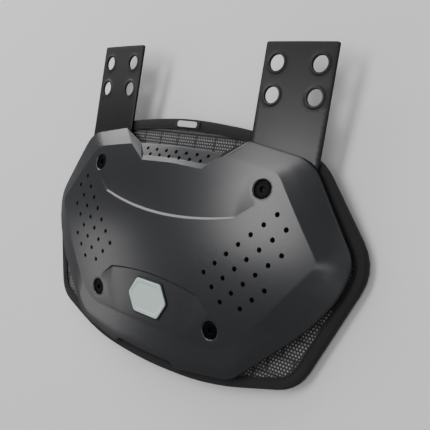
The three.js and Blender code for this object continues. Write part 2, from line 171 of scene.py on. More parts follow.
@dataclass(frozen=True)
class Levels:
    """Levels over the rim's front, going back towards the wearer."""

    wall: float = 2.5
    gap: float = 0.3
    strap: float = 2
    tape: float = 1
    pad_edge: float = 3.2
    pad: float = 9

    @property
    def strap_front(self) -> float:
        """Level of the straps' front."""
        return -self.wall - self.gap

    @property
    def strap_back(self) -> float:
        """Level of the straps' back."""
        return self.strap_front - self.strap

    @property
    def binding_front(self) -> float:
        """Level of the binding's front."""
        return self.strap_back - self.gap

    @property
    def pad_front(self) -> float:
        """Level of the pad's mesh."""
        return self.binding_front - self.tape - self.gap

    @property
    def pad_edge_back(self) -> float:
        """Level of the back of the pad's thin edge."""
        return self.pad_front - self.pad_edge

    @property
    def pad_back(self) -> float:
        """Level of the pad's full thickness."""
        return self.pad_front - self.pad

    @property
    def binding_back(self) -> float:
        """Level of the binding's back."""
        return self.pad_edge_back - self.gap - self.tape


PLATE = PlateFrame()
CURVE = BackCurve()
LEVELS = Levels()

# Half widths, rises above the middle and falls below it, with what the face stands in and the pad out
SHELL_HALF, SHELL_RISE, SHELL_FALL = 141.7, 75.8, 81.1
BORDER_SIDE, BORDER_TOP, BORDER_BOTTOM = 17.3, 11.6, 21.5
FACE_HALF = SHELL_HALF - BORDER_SIDE
FACE_RISE = SHELL_RISE - BORDER_TOP
FACE_FALL = SHELL_FALL - BORDER_BOTTOM
PAD_SIDE, PAD_TOP, PAD_BOTTOM = 9.5, 12, 6.7
PAD_HALF = SHELL_HALF + PAD_SIDE
PAD_RISE = SHELL_RISE + PAD_TOP
PAD_FALL = SHELL_FALL + PAD_BOTTOM
SCREW_HEIGHT = 47.1
SHANK_HOLE = 2.8

RIM_OUTLINE = (
    Corner(0, 0.886, 6),
    Corner(0.281, 0.872, 1.5),
    Corner(0.2835, 0.8743, 0.2),
    Corner(0.423, 1, 2),
    Corner(0.745, 0.906, 11),
    Corner(1, 0.191, 11),
    Corner(0.963, -0.080, 8),
    Corner(0.898, -0.265, 8),
    Corner(0.821, -0.432, 10),
    Corner(0.542, -0.914, 8),
    Corner(0.223, -1, 1.5),
    Corner(0.188, -0.960, 1.5),
    Corner(0, -0.970, 6),
)
RECESS_FOLD = {"soft": 0.12, "bend": 0.25}
BOTTOM_FOLD = {"out": 0.7, "soft": 0.5, "lift": 0.7}
FACE_OUTLINE = (
    Corner(0, 0.849, 6, out=0.26, drop=0.52, **RECESS_FOLD),
    Corner(0.236, 0.832, 1.5, out=0.26, drop=0.52, **RECESS_FOLD),
    Corner(0.2384, 0.835, 0.2, drop=0.5, **RECESS_FOLD),
    Corner(0.368, 1, 2, drop=0.5, soft=0.15, bend=1),
    Corner(0.699, 0.913, 6, drop=0.5, soft=0.2, bend=2),
    Corner(1, 0.162, 8, soft=0.5),
    Corner(0.941, 0.006, 6, soft=0.7),
    Corner(0.864, -0.211, 8, soft=0.7),
    Corner(0.78, -0.453, 12, soft=0.7),
    Corner(0.555, -1, 16, **BOTTOM_FOLD),
    Corner(0.253, -1, 1.5, **BOTTOM_FOLD),
    Corner(0.213, -1, 1.5, **BOTTOM_FOLD),
    Corner(0, -1, 6, **BOTTOM_FOLD),
)
PAD_OUTLINE = (
    Corner(0, 1, 25),
    Corner(0.410, 0.946, 25),
    Corner(0.714, 0.808, 12),
    Corner(1, 0.160, 18),
    Corner(0.786, -0.760, 13),
    Corner(0.377, -0.967, 25),
    Corner(0, -1, 20),
)


@dataclass(frozen=True)
class Stop:
    """A point of a loop, with what its border is like there."""

    x: float
    y: float
    out: float = 0.5
    drop: float = 0.46
    soft: float = 1.0
    bend: float = 4.0
    lift: float = 0.0

    def towards(self, other: Stop, share: float) -> Stop:
        """Give the stop that lies a share of the way to another one."""
        pairs = zip(vars(self).values(), vars(other).values())
        return Stop(*(a + (b - a) * share for a, b in pairs))


def mix(low: float, high: float, share: float) -> float:
    """Give the value that lies a share of the way between two."""
    return low + (high - low) * share


def placed(outline: Sequence[Corner], half: float, rise: float, fall: float) -> list[tuple[Stop, float]]:
    """Place an outline's corners, and add its left half.

    Args:
        outline: The right half's corners, from the top to the bottom.
        half: Half the width, in millimetres.
        rise: Reach above the middle, in millimetres.
        fall: Reach below the middle, in millimetres.

    Returns:
        Each corner with its cut, anticlockwise.
    """
    right = [
        (Stop(c.across * half, c.up * (rise if c.up > 0 else fall), *list(vars(c).values())[3:]), c.cut)
        for c in outline
    ]
    left = [(replace(stop, x=-stop.x), cut) for stop, cut in reversed(right) if stop.x > 0]
    return list(reversed(right + left))


@dataclass(frozen=True)
class LoopMaker:
    """Turns corners into an evenly stepped loop with rounded corners."""

    corner_steps: int = 5
    edge_step: float = 1.5
    largest_cut: float = 0.45

    def counts(self, corners: Corners) -> list[int]:
        """Give the number of steps along each edge of an outline."""
        ends = [stop for stop, _ in corners]
        pairs = zip(ends, ends[1:] + ends[:1])
        return [max(2, round(math.dist((a.x, a.y), (b.x, b.y)) / self.edge_step)) for a, b in pairs]

    def loop(self, corners: Corners, counts: Sequence[int], inset: float = 0) -> list[Stop]:
        """Make a loop.

        Args:
            corners: The placed corners, anticlockwise, each with its cut.
            counts: Steps along each edge, so that two outlines can be joined point by point.
            inset: How far inside the outline the loop lies.

        Returns:
            The loop's stops, anticlockwise.
        """
        bends = [self._bend(corners, i, inset) for i in range(len(corners))]
        loop = []
        for i, bend in enumerate(bends):
            following = bends[(i + 1) % len(bends)]
            loop += bend
            loop += [bend[-1].towards(following[0], k / counts[i]) for k in range(1, counts[i])]
        return loop

    def _bend(self, corners: Corners, i: int, inset: float) -> list[Stop]:
        """Round one corner, from the edge before it to the edge after it."""
        stop, cut = corners[i]
        here = Vector((stop.x, stop.y))
        before, after = corners[i - 1][0], corners[(i + 1) % len(corners)][0]
        back = Vector((before.x, before.y)) - here
        ahead = Vector((after.x, after.y)) - here
        longest = min(back.length, ahead.length) * self.largest_cut
        back.normalize()
        ahead.normalize()
        turn = math.pi - math.acos(max(-1.0, min(1.0, back.dot(ahead))))
        slide = inset * math.tan(turn / 2) * (1 if ahead.cross(back) >= 0 else -1)
        corner = here + Vector((-ahead.y, ahead.x)) * inset + ahead * slide
        reach = max(min(cut, longest) - slide, cut / 4)
        start, end = corner + back * reach, corner + ahead * reach
        stops = []
        for k in range(self.corner_steps + 1):
            t = k / self.corner_steps
            point = start * (1 - t) ** 2 + corner * 2 * t * (1 - t) + end * t * t
            stops.append(replace(stop, x=point.x, y=point.y))
        return stops


LOOPS = LoopMaker()


class Surface:
    """Gathers points in the plate's frame and the faces between them, and makes one mesh of them."""

    def __init__(self) -> None:
        """Start with nothing."""
        self.points: list[Vector] = []
        self.faces: list[tuple[int, ...]] = []

    def add(self, points: Iterable[Sequence[float]]) -> list[int]:
        """Add points and give their numbers."""
        start = len(self.points)
        self.points += [PLATE.place(*point) for point in points]
        return list(range(start, len(self.points)))

    def strip(self, low: Sequence[int], high: Sequence[int], closed: bool = True) -> None:
        """Join two rows of points, with the faces outwards where the second row is further in or up.

        Args:
            low: The first row.
            high: The second row, of the same count.
            closed: Whether the rows are loops.
        """
        count = len(low)
        for i in range(count if closed else count - 1):
            following = (i + 1) % count
            self.faces.append((low[i], low[following], high[following], high[i]))

    def loft(self, rings: Sequence[Sequence[Sequence[float]]], wrap: bool = False) -> list[list[int]]:
        """Join rings of equal count one after another.

        Args:
            rings: The rings, each a loop of points.
            wrap: Whether the last ring joins the first.

        Returns:
            The numbers of each ring's points.
        """
        rows = [self.add(ring) for ring in rings]
        for low, high in zip(rows, rows[1:] + (rows[:1] if wrap else [])):
            self.strip(low, high)
        return rows

    def cap(
        self, filled: Filled, height: Height, up: bool, keep: Callable[[Point], bool] | None = None
    ) -> None:
        """Lift a filled plan to a height.

        Args:
            filled: The flat points and the triangles between them.
            height: The height at a place.
            up: Whether it faces out of the plate, and not towards the wearer.
            keep: Tells whether to keep the triangle with a given middle. All are kept without it.
        """
        spots, faces = filled
        numbers = self.add((x, y, height(x, y)) for x, y in spots)
        for face in faces:
            middle = tuple(sum(spots[i][k] for i in face) / len(face) for k in (0, 1))
            if keep is None or keep(middle):
                self.faces.append(tuple(numbers[i] for i in (face if up else reversed(face))))

    def piece(self, name: str, sharp: float = 40, weld: float = 0.002) -> Piece:
        """Make an object of what was gathered.

        Args:
            name: The object's name.
            sharp: Edges that turn by more degrees than this stay sharp.
            weld: Points nearer than this become one, in millimetres.

        Returns:
            The new object, at the origin.
        """
        used = sorted({i for face in self.faces for i in face})
        numbers = {old: new for new, old in enumerate(used)}
        faces = [tuple(numbers[i] for i in face) for face in self.faces]
        mesh = bpy.data.meshes.new(name)
        mesh.from_pydata([self.points[i] for i in used], [], faces)
        shaped = bmesh.new()
        shaped.from_mesh(mesh)
        bmesh.ops.remove_doubles(shaped, verts=shaped.verts, dist=weld * MM)
        bmesh.ops.dissolve_degenerate(shaped, edges=shaped.edges, dist=weld * MM)
        shaped.to_mesh(mesh)
        shaped.free()
        smooth(mesh, sharp)
        return add_object(name, mesh)


def add_object(name: str, data: bpy.types.ID) -> Piece:
    """Put a new object with its mesh, light or camera into the scene."""
    added = bpy.data.objects.new(name, data)
    bpy.context.scene.collection.objects.link(added)
    return added


def smooth(mesh: bpy.types.Mesh, sharp: float) -> None:
    """Shade a mesh smooth, apart from edges that turn by more than some degrees."""
    mesh.polygons.foreach_set("use_smooth", [True] * len(mesh.polygons))
    mesh.set_sharp_from_angle(angle=math.radians(sharp))
    mesh.update()


def weigh_normals(piece: Piece, sharp: float) -> None:
    """Shade a piece so that its wide facets stay even and only their narrow roundings bend.

    Args:
        piece: The piece, whose mesh is replaced.
        sharp: Edges that turn by more degrees than this stay sharp.
    """
    smooth(piece.data, sharp)
    modifier = piece.modifiers.new("facets", "WEIGHTED_NORMAL")
    modifier.mode = "FACE_AREA"
    modifier.weight = 60
    modifier.keep_sharp = True
    take_evaluated(piece, modifier)


def take_evaluated(piece: Piece, modifier: bpy.types.Modifier) -> None:
    """Give a piece the mesh that its modifier makes, and remove the modifier."""
    bpy.context.view_layer.update()
    graph = bpy.context.evaluated_depsgraph_get()
    mesh = bpy.data.meshes.new_from_object(piece.evaluated_get(graph))
    piece.modifiers.remove(modifier)
    piece.data = mesh
    mesh.name = piece.name


def circle(x: float, y: float, radius: float, sides: int) -> list[Point]:
    """Give a circle's points, anticlockwise."""
    turns = [2 * math.pi * i / sides for i in range(sides)]
    return [(x + radius * math.cos(turn), y + radius * math.sin(turn)) for turn in turns]


@dataclass
class PlanFill:
    """Fills a flat outline with small even triangles that keep to given lines.

    Every loop and line stays an edge of the mesh, so that creases, rims and holes come out crisp. The
    other points keep a share of a step clear of them.
    """

    outline: Sequence[Point]
    step: float
    loops: Sequence[Sequence[Point]] = ()
    lines: Sequence[Sequence[Point]] = ()
    clear: float = 0.62

    def make(self) -> Filled:
        """Fill the outline.

        Returns:
            The flat points, and the triangles between them, anticlockwise.
        """
        points: list[Point] = []
        edges: list[tuple[int, int]] = []
        for path, closed in self._paths():
            start = len(points)
            points += path
            edges += [(start + i, start + i + 1) for i in range(len(path) - 1)]
            if closed:
                edges.append((len(points) - 1, start))
        points += self._lattice(points)
        spots, _, faces, *_ = delaunay_2d_cdt([Vector(p) for p in points], edges, [], 1, 1e-6)
        return [(p.x, p.y) for p in spots], [tuple(face) for face in faces]

    def _paths(self) -> list[tuple[list[Point], bool]]:
        """Give every given path, and whether it is closed."""
        closed = [(list(loop), True) for loop in (self.outline, *self.loops)]
        return closed + [(list(line), False) for line in self.lines]

    def _lattice(self, kept: Sequence[Point]) -> list[Point]:
        """Give evenly spaced points that keep clear of the given ones."""
        tree = KDTree(len(kept))
        for i, (x, y) in enumerate(kept):
            tree.insert((x, y, 0), i)
        tree.balance()
        rise = self.step * math.sqrt(3) / 2
        across = [x for x, _ in self.outline]
        up = [y for _, y in self.outline]
        spots = []
        for row in range(math.ceil((max(up) - min(up)) / rise)):
            y = min(up) + row * rise
            shift = self.step / 2 * (row % 2)
            for column in range(math.ceil((max(across) - min(across)) / self.step)):
                x = min(across) + shift + column * self.step
                if tree.find((x, y, 0))[2] > self.clear * self.step:
                    spots.append((x, y))
        return spots


def ease(share: float) -> float:
    """Give a share that starts and ends gently, held between 0 and 1."""
    held = max(0.0, min(1.0, share))
    return held * held * (3 - 2 * held)


def rounded_bend(distance: float, reach: float, before: float, after: float) -> float:
    """Give the height of a softened crease, where the slope goes from one value to another.

    Args:
        distance: Distance past the crease.
        reach: How far the softening reaches to either side.
        before: Slope before the crease.
        after: Slope after it.

    Returns:
        The height over the crease's own level.
    """
    if distance <= -reach:
        return before * distance
    if distance >= reach:
        return after * distance
    return before * distance + (after - before) * (distance + reach) ** 2 / (4 * reach)


@dataclass(frozen=True)
class StepLine:
    """A step across the face: a shallow arc to a corner, then a run to an end where it dies away.

    Places are in shares of the face's half width and of its rise or fall. The sunk panel beyond the step
    is level with the face again at its far line. From wide_until on it narrows to a groove along the run.
    thins says how much of its depth it loses up to its corner, and least how narrow its creases get.
    """

    middle: float
    corner: Point
    end: Point
    far: float
    depth: float
    run: float
    wide_until: float
    groove: float = 14.0
    soft: float = 0.12
    thins: float = 0.1
    least: float = 0.12

    @property
    def reach(self) -> float:
        """The face's rise or fall, whichever side the step is on."""
        return FACE_RISE if self.middle > 0 else FACE_FALL

    @property
    def side(self) -> int:
        """1 where the panel lies above the step, and -1 where it lies below."""
        return 1 if self.far > self.middle else -1

    def line(self, x: float) -> tuple[float, float]:
        """Give the step's height on the plan at x, and how much of its depth it has there."""
        share = abs(x) / FACE_HALF
        if share <= self.corner[0]:
            bowed = (share / self.corner[0]) ** 2
            return mix(self.middle, self.corner[1], bowed) * self.reach, 1 - self.thins * bowed
        along = (share - self.corner[0]) / (self.end[0] - self.corner[0])
        up = self.corner[1] + (self.end[1] - self.corner[1]) * along
        return up * self.reach, max(0.0, 1 - along) * (1 - self.thins)

    def sink(self, x: float, y: float) -> float:
        """Give how far the panel lowers the face at a place, as a number below zero."""
        up, depth = self.line(x)
        if depth <= 0:
            return 0.0
        past = self.side * (y - up)
        length = abs(self.far * self.reach - up)
        wide = ease((self.end[0] - abs(x) / FACE_HALF) / (self.end[0] - self.wide_until))
        return self.depth * depth * self._section(past, mix(min(self.groove, length), length, wide), depth)

    def _section(self, past: float, length: float, scale: float) -> float:
        """Give the section of a panel of unit depth that is level with the face again after a length.

        Args:
            past: Distance past the step.
            length: Where the panel is level again.
            scale: How wide the step is, so that it keeps its slope while it dies away.

        Returns:
            The height, as a number below zero.
        """
        run, soft = self.run * scale, self.soft * scale
        if past <= -soft or past >= length:
            return 0.0
        if past < run / 2:
            return min(0.0, rounded_bend(past, soft, 0, -1 / run))
        return min(0.0, rounded_bend(past - run, soft, -1 / run, 1 / (length - run)) - 1)

    def creases(self, step: float) -> list[list[Point]]:
        """Give the lines on the plan that the step's mesh keeps to."""
        half = self.end[0] * FACE_HALF
        count = math.ceil(2 * half / step)
        across = [mix(-half, half, i / count) for i in range(count + 1)]
        offsets = [-self.soft, 0, self.soft, self.run / 2]
        offsets += [self.run - self.soft, self.run, self.run + self.soft]
        lines = []
        for off in offsets:
            line = []
            for x in across:
                up, depth = self.line(x)
                line.append((x, up + self.side * off * max(self.least, depth)))
            lines.append(line)
        return lines


CRESCENT = StepLine(
    0.283, (0.509, 0.408), (0.613, 0.569), 0.84, depth=1.2, run=1.8, wide_until=0.05, thins=0.25, groove=24
)
BADGE_PANEL = StepLine(
    -0.388, (0.342, -0.453), (0.437, -0.612), -0.965, depth=0.9, run=0.9, wide_until=0.25, thins=-0.25
)


@dataclass(frozen=True)
class ScrewPlace:
    """Where a screw goes, and the level that its boss stands on."""

    node: str
    x: float
    y: float
    seat: float


SCREW_PLACES = tuple(
    ScrewPlace(f"screw_{row}_{side.name.lower()}", side.value * x, y, seat)
    for row, x, y, seat in (
        ("upper", 78.8, SCREW_HEIGHT, LEVELS.strap_front),
        ("lower", 57.6, -SCREW_HEIGHT, LEVELS.pad_front),
    )
    for side in Side
)


@dataclass
class Shell:
    """The domed hard plate, with its border, recess, steps, screw wells and vents.

    vent_start is where the side vents' grid begins, in shares of the face. Each of vent_rows has its first
    column and its count. Each of recess_rows has its count and its share of the way out to the rim.
    """

    step: float = 1.5
    crease_step: float = 1.3
    sharp: float = 38
    notch: float = 0.224
    rim_soft: float = 0.8
    well: float = 6.0
    well_lip: float = 0.8
    well_depth: float = 3.4
    boss: float = 9.0
    back_soft: float = 0.3
    well_sides: int = 40
    vent: float = 2.75
    recess_vent: float = 2.4
    vent_lip: float = 0.4
    vent_along: float = 7.55
    vent_across: float = 7.8
    vent_start: Point = (0.748, 0.528)
    vent_rows: tuple[tuple[int, int], ...] = ((0, 7), (0, 7), (1, 6), (3, 3))
    recess_step: float = 9.9
    recess_rows: tuple[tuple[int, float], ...] = ((7, 0.64), (6, 0.33))
    recess_lean: Triple = (0, 0.2, 1)

    def height(self, x: float, y: float) -> float:
        """Give the height of the face, steps included."""
        return CURVE.face(x, y) + CRESCENT.sink(x, y) + BADGE_PANEL.sink(x, y)

    def build(self, finish: PlasticFinish) -> Piece:
        """Build the shell as one closed wall, and cut its vents.

        Args:
            finish: The shell's plastic.

        Returns:
            The finished piece.
        """
        surface = Surface()
        inner = self._border(surface)
        self._face(surface, inner)
        for place in SCREW_PLACES:
            self._well(surface, place)
        shell = surface.piece("shell_moulded", self.sharp)
        shell = Perforator(self.vent, self.vent_lip).cut(shell, self._vents())
        weigh_normals(shell, self.sharp)
        dress(shell, finish)
        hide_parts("shell")
        return shell

    def _border(self, surface: Surface) -> list[Point]:
        """Make the bevelled border, front and back, and give the loop inside it."""
        rim_corners = placed(RIM_OUTLINE, SHELL_HALF, SHELL_RISE, SHELL_FALL)
        face_corners = placed(FACE_OUTLINE, FACE_HALF, FACE_RISE, FACE_FALL)
        counts = LOOPS.counts(rim_corners)
        rim = LOOPS.loop(rim_corners, counts)
        face = LOOPS.loop(face_corners, counts)
        columns = [self._border_column(inner, outer) for inner, outer in zip(face, rim)]
        rings = [list(ring) for ring in zip(*columns)]
        surface.loft(list(reversed(rings)))
        return [(x, y) for x, y, _ in rings[0]]

    def _border_column(self, inner: Stop, outer: Stop) -> Ring:
        """Give the border's section at one stop, from the face round the rim to the face's back.

        The bottom's notch only trims the border: there the section is shaped as if it ran on to the
        lowest edge.
        """
        trimmed = math.dist((inner.x, inner.y), (outer.x, outer.y))
        along = ((outer.x - inner.x) / trimmed, (outer.y - inner.y) / trimmed)
        notched = abs(outer.x) < self.notch * SHELL_HALF and outer.y < 0
        run = (inner.y + SHELL_FALL) / -along[1] if notched else trimmed
        turned = CURVE.rim(outer.x) - CURVE.shell_turn * (outer.x / SHELL_HALF) ** 8
        fall = turned - CURVE.face(outer.x, inner.y + along[1] * run)
        fold = inner.out * run
        folded = inner.drop * fall + inner.lift
        slopes = (folded / fold, (fall - folded) / (run - fold))
        edge_soft = min(inner.soft, 0.45 * fold)
        fold_soft = min(inner.bend, 0.8 * (fold - edge_soft), 0.4 * (run - fold))
        spots = [edge_soft * share for share in (-1, -0.6, -0.2, 0.2, 0.6, 1)]
        spots += [fold + fold_soft * share for share in (-1, -0.5, 0, 0.5, 1)]
        spots += [mix(fold + fold_soft, trimmed - self.rim_soft, share) for share in (0.35, 0.7, 1)]
        front = []
        for spot in spots:
            if spot < (edge_soft + fold) / 2:
                level = rounded_bend(spot, edge_soft, 0, slopes[0])
            else:
                level = folded + rounded_bend(spot - fold, fold_soft, *slopes)
            x, y = inner.x + along[0] * spot, inner.y + along[1] * spot
            front.append((x, y, CURVE.face(x, y) + level))
        last = front[-1]
        turn = []
        for angle in (30, 60, 90):
            share = math.sin(math.radians(angle))
            sunk = self.rim_soft * (1 - math.cos(math.radians(angle)))
            x, y = (last[k] + along[k] * self.rim_soft * share for k in (0, 1))
            turn.append((x, y, last[2] - sunk + slopes[1] * self.rim_soft * share))
        x, y, z = turn[-1]
        soft, below = self.back_soft, last[2] - LEVELS.wall
        edge = [(x, y, below + soft), (x - along[0] * soft, y - along[1] * soft, below - 0.05)]
        back = [(x, y, z - LEVELS.wall) for x, y, z in reversed(front)]
        return front + turn + edge + back

    def _face(self, surface: Surface, inner: list[Point]) -> None:
        """Fill the face and its back inside the border."""
        outline = list(reversed(inner)) if area(inner) < 0 else inner
        radii = self._well_radii()
        rims = [circle(p.x, p.y, radius, self.well_sides) for p in SCREW_PLACES for radius in radii]
        creases = CRESCENT.creases(self.crease_step) + BADGE_PANEL.creases(self.crease_step)
        filled = PlanFill(outline, self.step, rims, creases).make()

        def outside(radius: float) -> Callable[[Point], bool]:
            """Give the test of whether a place is outside the wells, at a radius."""
            return lambda spot: all(math.dist(spot, (p.x, p.y)) > radius for p in SCREW_PLACES)

        surface.cap(filled, self.height, True, outside(self.well + self.well_lip))
        surface.cap(filled, lambda x, y: self.height(x, y) - LEVELS.wall, False, outside(self.boss))

    def _well_radii(self) -> tuple[float, float]:
        """Give the radii of a screw well's lip and of its boss."""
        return self.well + self.well_lip, self.boss

    def _well(self, surface: Surface, place: ScrewPlace) -> None:
        """Make the well that a screw's head sits in, and the boss round it."""
        lip, boss = self._well_radii()
        below = place.seat + LEVELS.gap
        # Each ring's radius, curve and level, from the back of the shell round the boss to the well's lip
        section = [
            (boss, self.height, -LEVELS.wall),
            (boss, CURVE.rim, below),
            (SHANK_HOLE, CURVE.rim, below),
            (SHANK_HOLE, CURVE.face, -self.well_depth),
            (self.well, CURVE.face, -self.well_depth),
            (self.well, CURVE.face, -0.9),
            (self.well, self.height, -0.6),
            (mix(self.well, lip, 0.45), self.height, -0.25),
            (lip, self.height, 0),
        ]
        rings = []
        for radius, height, level in section:
            ring = circle(place.x, place.y, radius, self.well_sides)
            rings.append([(x, y, height(x, y) + level) for x, y in reversed(ring)])
        surface.loft(rings)

    def _vents(self) -> list[Copy]:
        """Give each vent's place on the front, the direction that it faces and its relative size."""
        start_x, start_y = self.vent_start[0] * FACE_HALF, self.vent_start[1] * FACE_RISE
        spots = []
        for row, (first, count) in enumerate(self.vent_rows):
            for i in range(first, first + count):
                x = start_x + row * self.vent_across - i * self.vent_along
                y = start_y - row * self.vent_across - i * self.vent_along
                spots += [(x, y), (-x, y)]
        vents = [((x, y, self.height(x, y)), CURVE.face_lean(x, y), 1.0) for x, y in spots]
        ledge = FACE_OUTLINE[0]
        low, high = ledge.up * FACE_RISE, RIM_OUTLINE[0].up * SHELL_RISE
        lean = Vector(self.recess_lean).normalized()
        for count, out in self.recess_rows:
            for i in range(count):
                x, y = (i - (count - 1) / 2) * self.recess_step, mix(low, high, out)
                fall = CURVE.rim(x) - CURVE.face(x, high)
                level = mix(ledge.drop, 1, (out - ledge.out) / (1 - ledge.out)) * fall
                vents.append(((x, y, CURVE.face(x, y) + level), lean, self.recess_vent / self.vent))
        return [(PLATE.place(*place), PLATE.turn(lean), size) for place, lean, size in vents]


def area(loop: Sequence[Point]) -> float:
    """Give a loop's signed area, which is above zero where it runs anticlockwise."""
    pairs = zip(loop, list(loop[1:]) + [loop[0]])
    return sum(a[0] * b[1] - b[0] * a[1] for a, b in pairs) / 2


class Bench:
    """Adds nodes to a shader's tree. The prefix is what the types of its nodes begin with."""

    prefix = "ShaderNode"

    def __init__(self, tree: bpy.types.NodeTree) -> None:
        """Start on a tree."""
        self.tree = tree

    def fill(self, node: bpy.types.Node, links: Links) -> None:
        """Give a node's inputs, by name or number, a value or a socket each."""
        for key, value in links.items():
            if isinstance(value, Socket):
                self.tree.links.new(value, node.inputs[key])
            else:
                node.inputs[key].default_value = value

    def node(self, kind: str, links: Links | None = None, **settings: object) -> bpy.types.Node:
        """Add a node.

        Args:
            kind: The node's type, without the prefix.
            links: Its inputs by name or number, each a value or a socket.
            settings: Its own properties.

        Returns:
            The node.
        """
        node = self.tree.nodes.new(f"{self.prefix}{kind}")
        for key, value in settings.items():
            setattr(node, key, value)
        self.fill(node, links or {})
        return node

    def math(self, operation: str, *values: object) -> Socket:
        """Add a Math node and give its value."""
        return self.node("Math", dict(enumerate(values)), operation=operation).outputs[0]

    def blend(self, share: object, low: Triple, high: Triple) -> Socket:
        """Mix two colours by a mask and give the colour."""
        links = {"Factor": share, 6: (*low, 1), 7: (*high, 1)}
        return self.node("Mix", links, data_type="RGBA").outputs[2]

    def noise(self, place: Socket, scale: object, detail: float = 2.0) -> Socket:
        """Add a noise and give its value."""
        return self.node("TexNoise", {"Vector": place, "Scale": scale, "Detail": detail}).outputs["Fac"]

    def group(self, tree: bpy.types.NodeTree, place: Socket, **values: float) -> bpy.types.Node:
        """Place a shader group."""
        return self.node("Group", {"Vector": place, **values}, node_tree=tree)

    def bump(self, height: Socket, strength: float, distance: float = 0.0002) -> Socket:
        """Add a bump and give its normal."""
        links = {"Height": height, "Strength": strength, "Distance": distance}
        return self.node("Bump", links).outputs["Normal"]


class NodeTree(Bench):
    """Builds a Geometry Nodes tree with named inputs."""

    prefix = ""

    def __init__(self, name: str) -> None:
        """Start a tree that takes and gives geometry."""
        super().__init__(bpy.data.node_groups.new(name, "GeometryNodeTree"))
        for side in ("INPUT", "OUTPUT"):
            self.tree.interface.new_socket("Geometry", in_out=side, socket_type="NodeSocketGeometry")
        self.entry = self.tree.nodes.new("NodeGroupInput")
        self.exit = self.tree.nodes.new("NodeGroupOutput")
        self.keys: dict[str, str] = {}

    def takes(self, name: str, kind: str) -> None:
        """Add a named input of a kind, such as Float or Object."""
        socket = self.tree.interface.new_socket(name, in_out="INPUT", socket_type=f"NodeSocket{kind}")
        self.keys[name] = socket.identifier

    def named(self, name: str) -> Socket:
        """Give the socket of a named input."""
        return self.entry.outputs[name]

    def copies(self, points: Socket, original: str) -> Socket:
        """Set a copy of a named object at each point, turned and sized as the point says."""
        info = self.node("GeometryNodeObjectInfo", {"Object": self.named(original), "As Instance": True})
        lean = self.node("GeometryNodeInputNamedAttribute", {"Name": "lean"}, data_type="FLOAT_VECTOR")
        size = self.node("GeometryNodeInputNamedAttribute", {"Name": "size"}, data_type="FLOAT")
        turn = self.node("FunctionNodeAlignRotationToVector", {"Vector": lean.outputs["Attribute"]}, axis="Z")
        return self.node("GeometryNodeInstanceOnPoints", {
            "Points": points,
            "Instance": info.outputs["Geometry"],
            "Rotation": turn.outputs["Rotation"],
            "Scale": size.outputs["Attribute"],
        }).outputs["Instances"]

    def finish(self, geometry: Socket, material: bpy.types.Material | None = None) -> None:
        """Realize the instances, set the material and end the tree."""
        real = self.node("GeometryNodeRealizeInstances", {"Geometry": geometry}).outputs["Geometry"]
        if material:
            links = {"Geometry": real, "Material": material}
            real = self.node("GeometryNodeSetMaterial", links).outputs["Geometry"]
        self.tree.links.new(real, self.exit.inputs["Geometry"])

    def apply(self, piece: Piece, **inputs: object) -> Piece:
        """Run the tree on a piece, and leave a plain mesh.

        Args:
            piece: The object whose geometry goes in.
            inputs: Values of the named inputs.

        Returns:
            The same object, with its new mesh.
        """
        modifier = piece.modifiers.new(self.tree.name, "NODES")
        modifier.node_group = self.tree
        for name, value in inputs.items():
            modifier[self.keys[name.replace("_", " ").capitalize()]] = value
        take_evaluated(piece, modifier)
        return piece


def place_points(name: str, places: Sequence[Copy]) -> Piece:
    """Make a mesh of loose points that each hold how their copy is turned and sized.

    Args:
        name: The object's name.
        places: Each copy's place, direction and size.

    Returns:
        The object, which is removed once the copies are made.
    """
    mesh = bpy.data.meshes.new(name)
    mesh.from_pydata([place for place, _, _ in places], [], [])
    leans = mesh.attributes.new("lean", "FLOAT_VECTOR", "POINT")
    leans.data.foreach_set("vector", [value for _, lean, _ in places for value in lean])
    sizes = mesh.attributes.new("size", "FLOAT", "POINT")
    sizes.data.foreach_set("value", [size for _, _, size in places])
    return add_object(name, mesh)


def discard(*helpers: Piece) -> None:
    """Remove objects that only helped to make another one."""
    for helper in helpers:
        bpy.data.objects.remove(helper, do_unlink=True)


def lathe(name: str, profile: Sequence[Point], sides: int) -> Piece:
    """Turn a profile round Z, in metres, at the origin.

    Args:
        name: The object's name.
        profile: Radius and height from the bottom to the top; a radius of zero closes an end.
        sides: Number of sides.

    Returns:
        The object.
    """
    shaped = bmesh.new()
    rows = []
    for radius, height in profile:
        spots = [(0, 0)] if radius == 0 else circle(0, 0, radius, sides)
        rows.append([shaped.verts.new((x, y, height)) for x, y in spots])
    for low, high in zip(rows, rows[1:]):
        for i in range(sides):
            following = (i + 1) % sides
            pairs = ((low, i), (low, following), (high, following), (high, i))
            shaped.faces.new(list(dict.fromkeys(row[k % len(row)] for row, k in pairs)))
    bmesh.ops.recalc_face_normals(shaped, faces=shaped.faces)
    mesh = bpy.data.meshes.new(name)
    shaped.to_mesh(mesh)
    shaped.free()
    smooth(mesh, 40)
    return add_object(name, mesh)


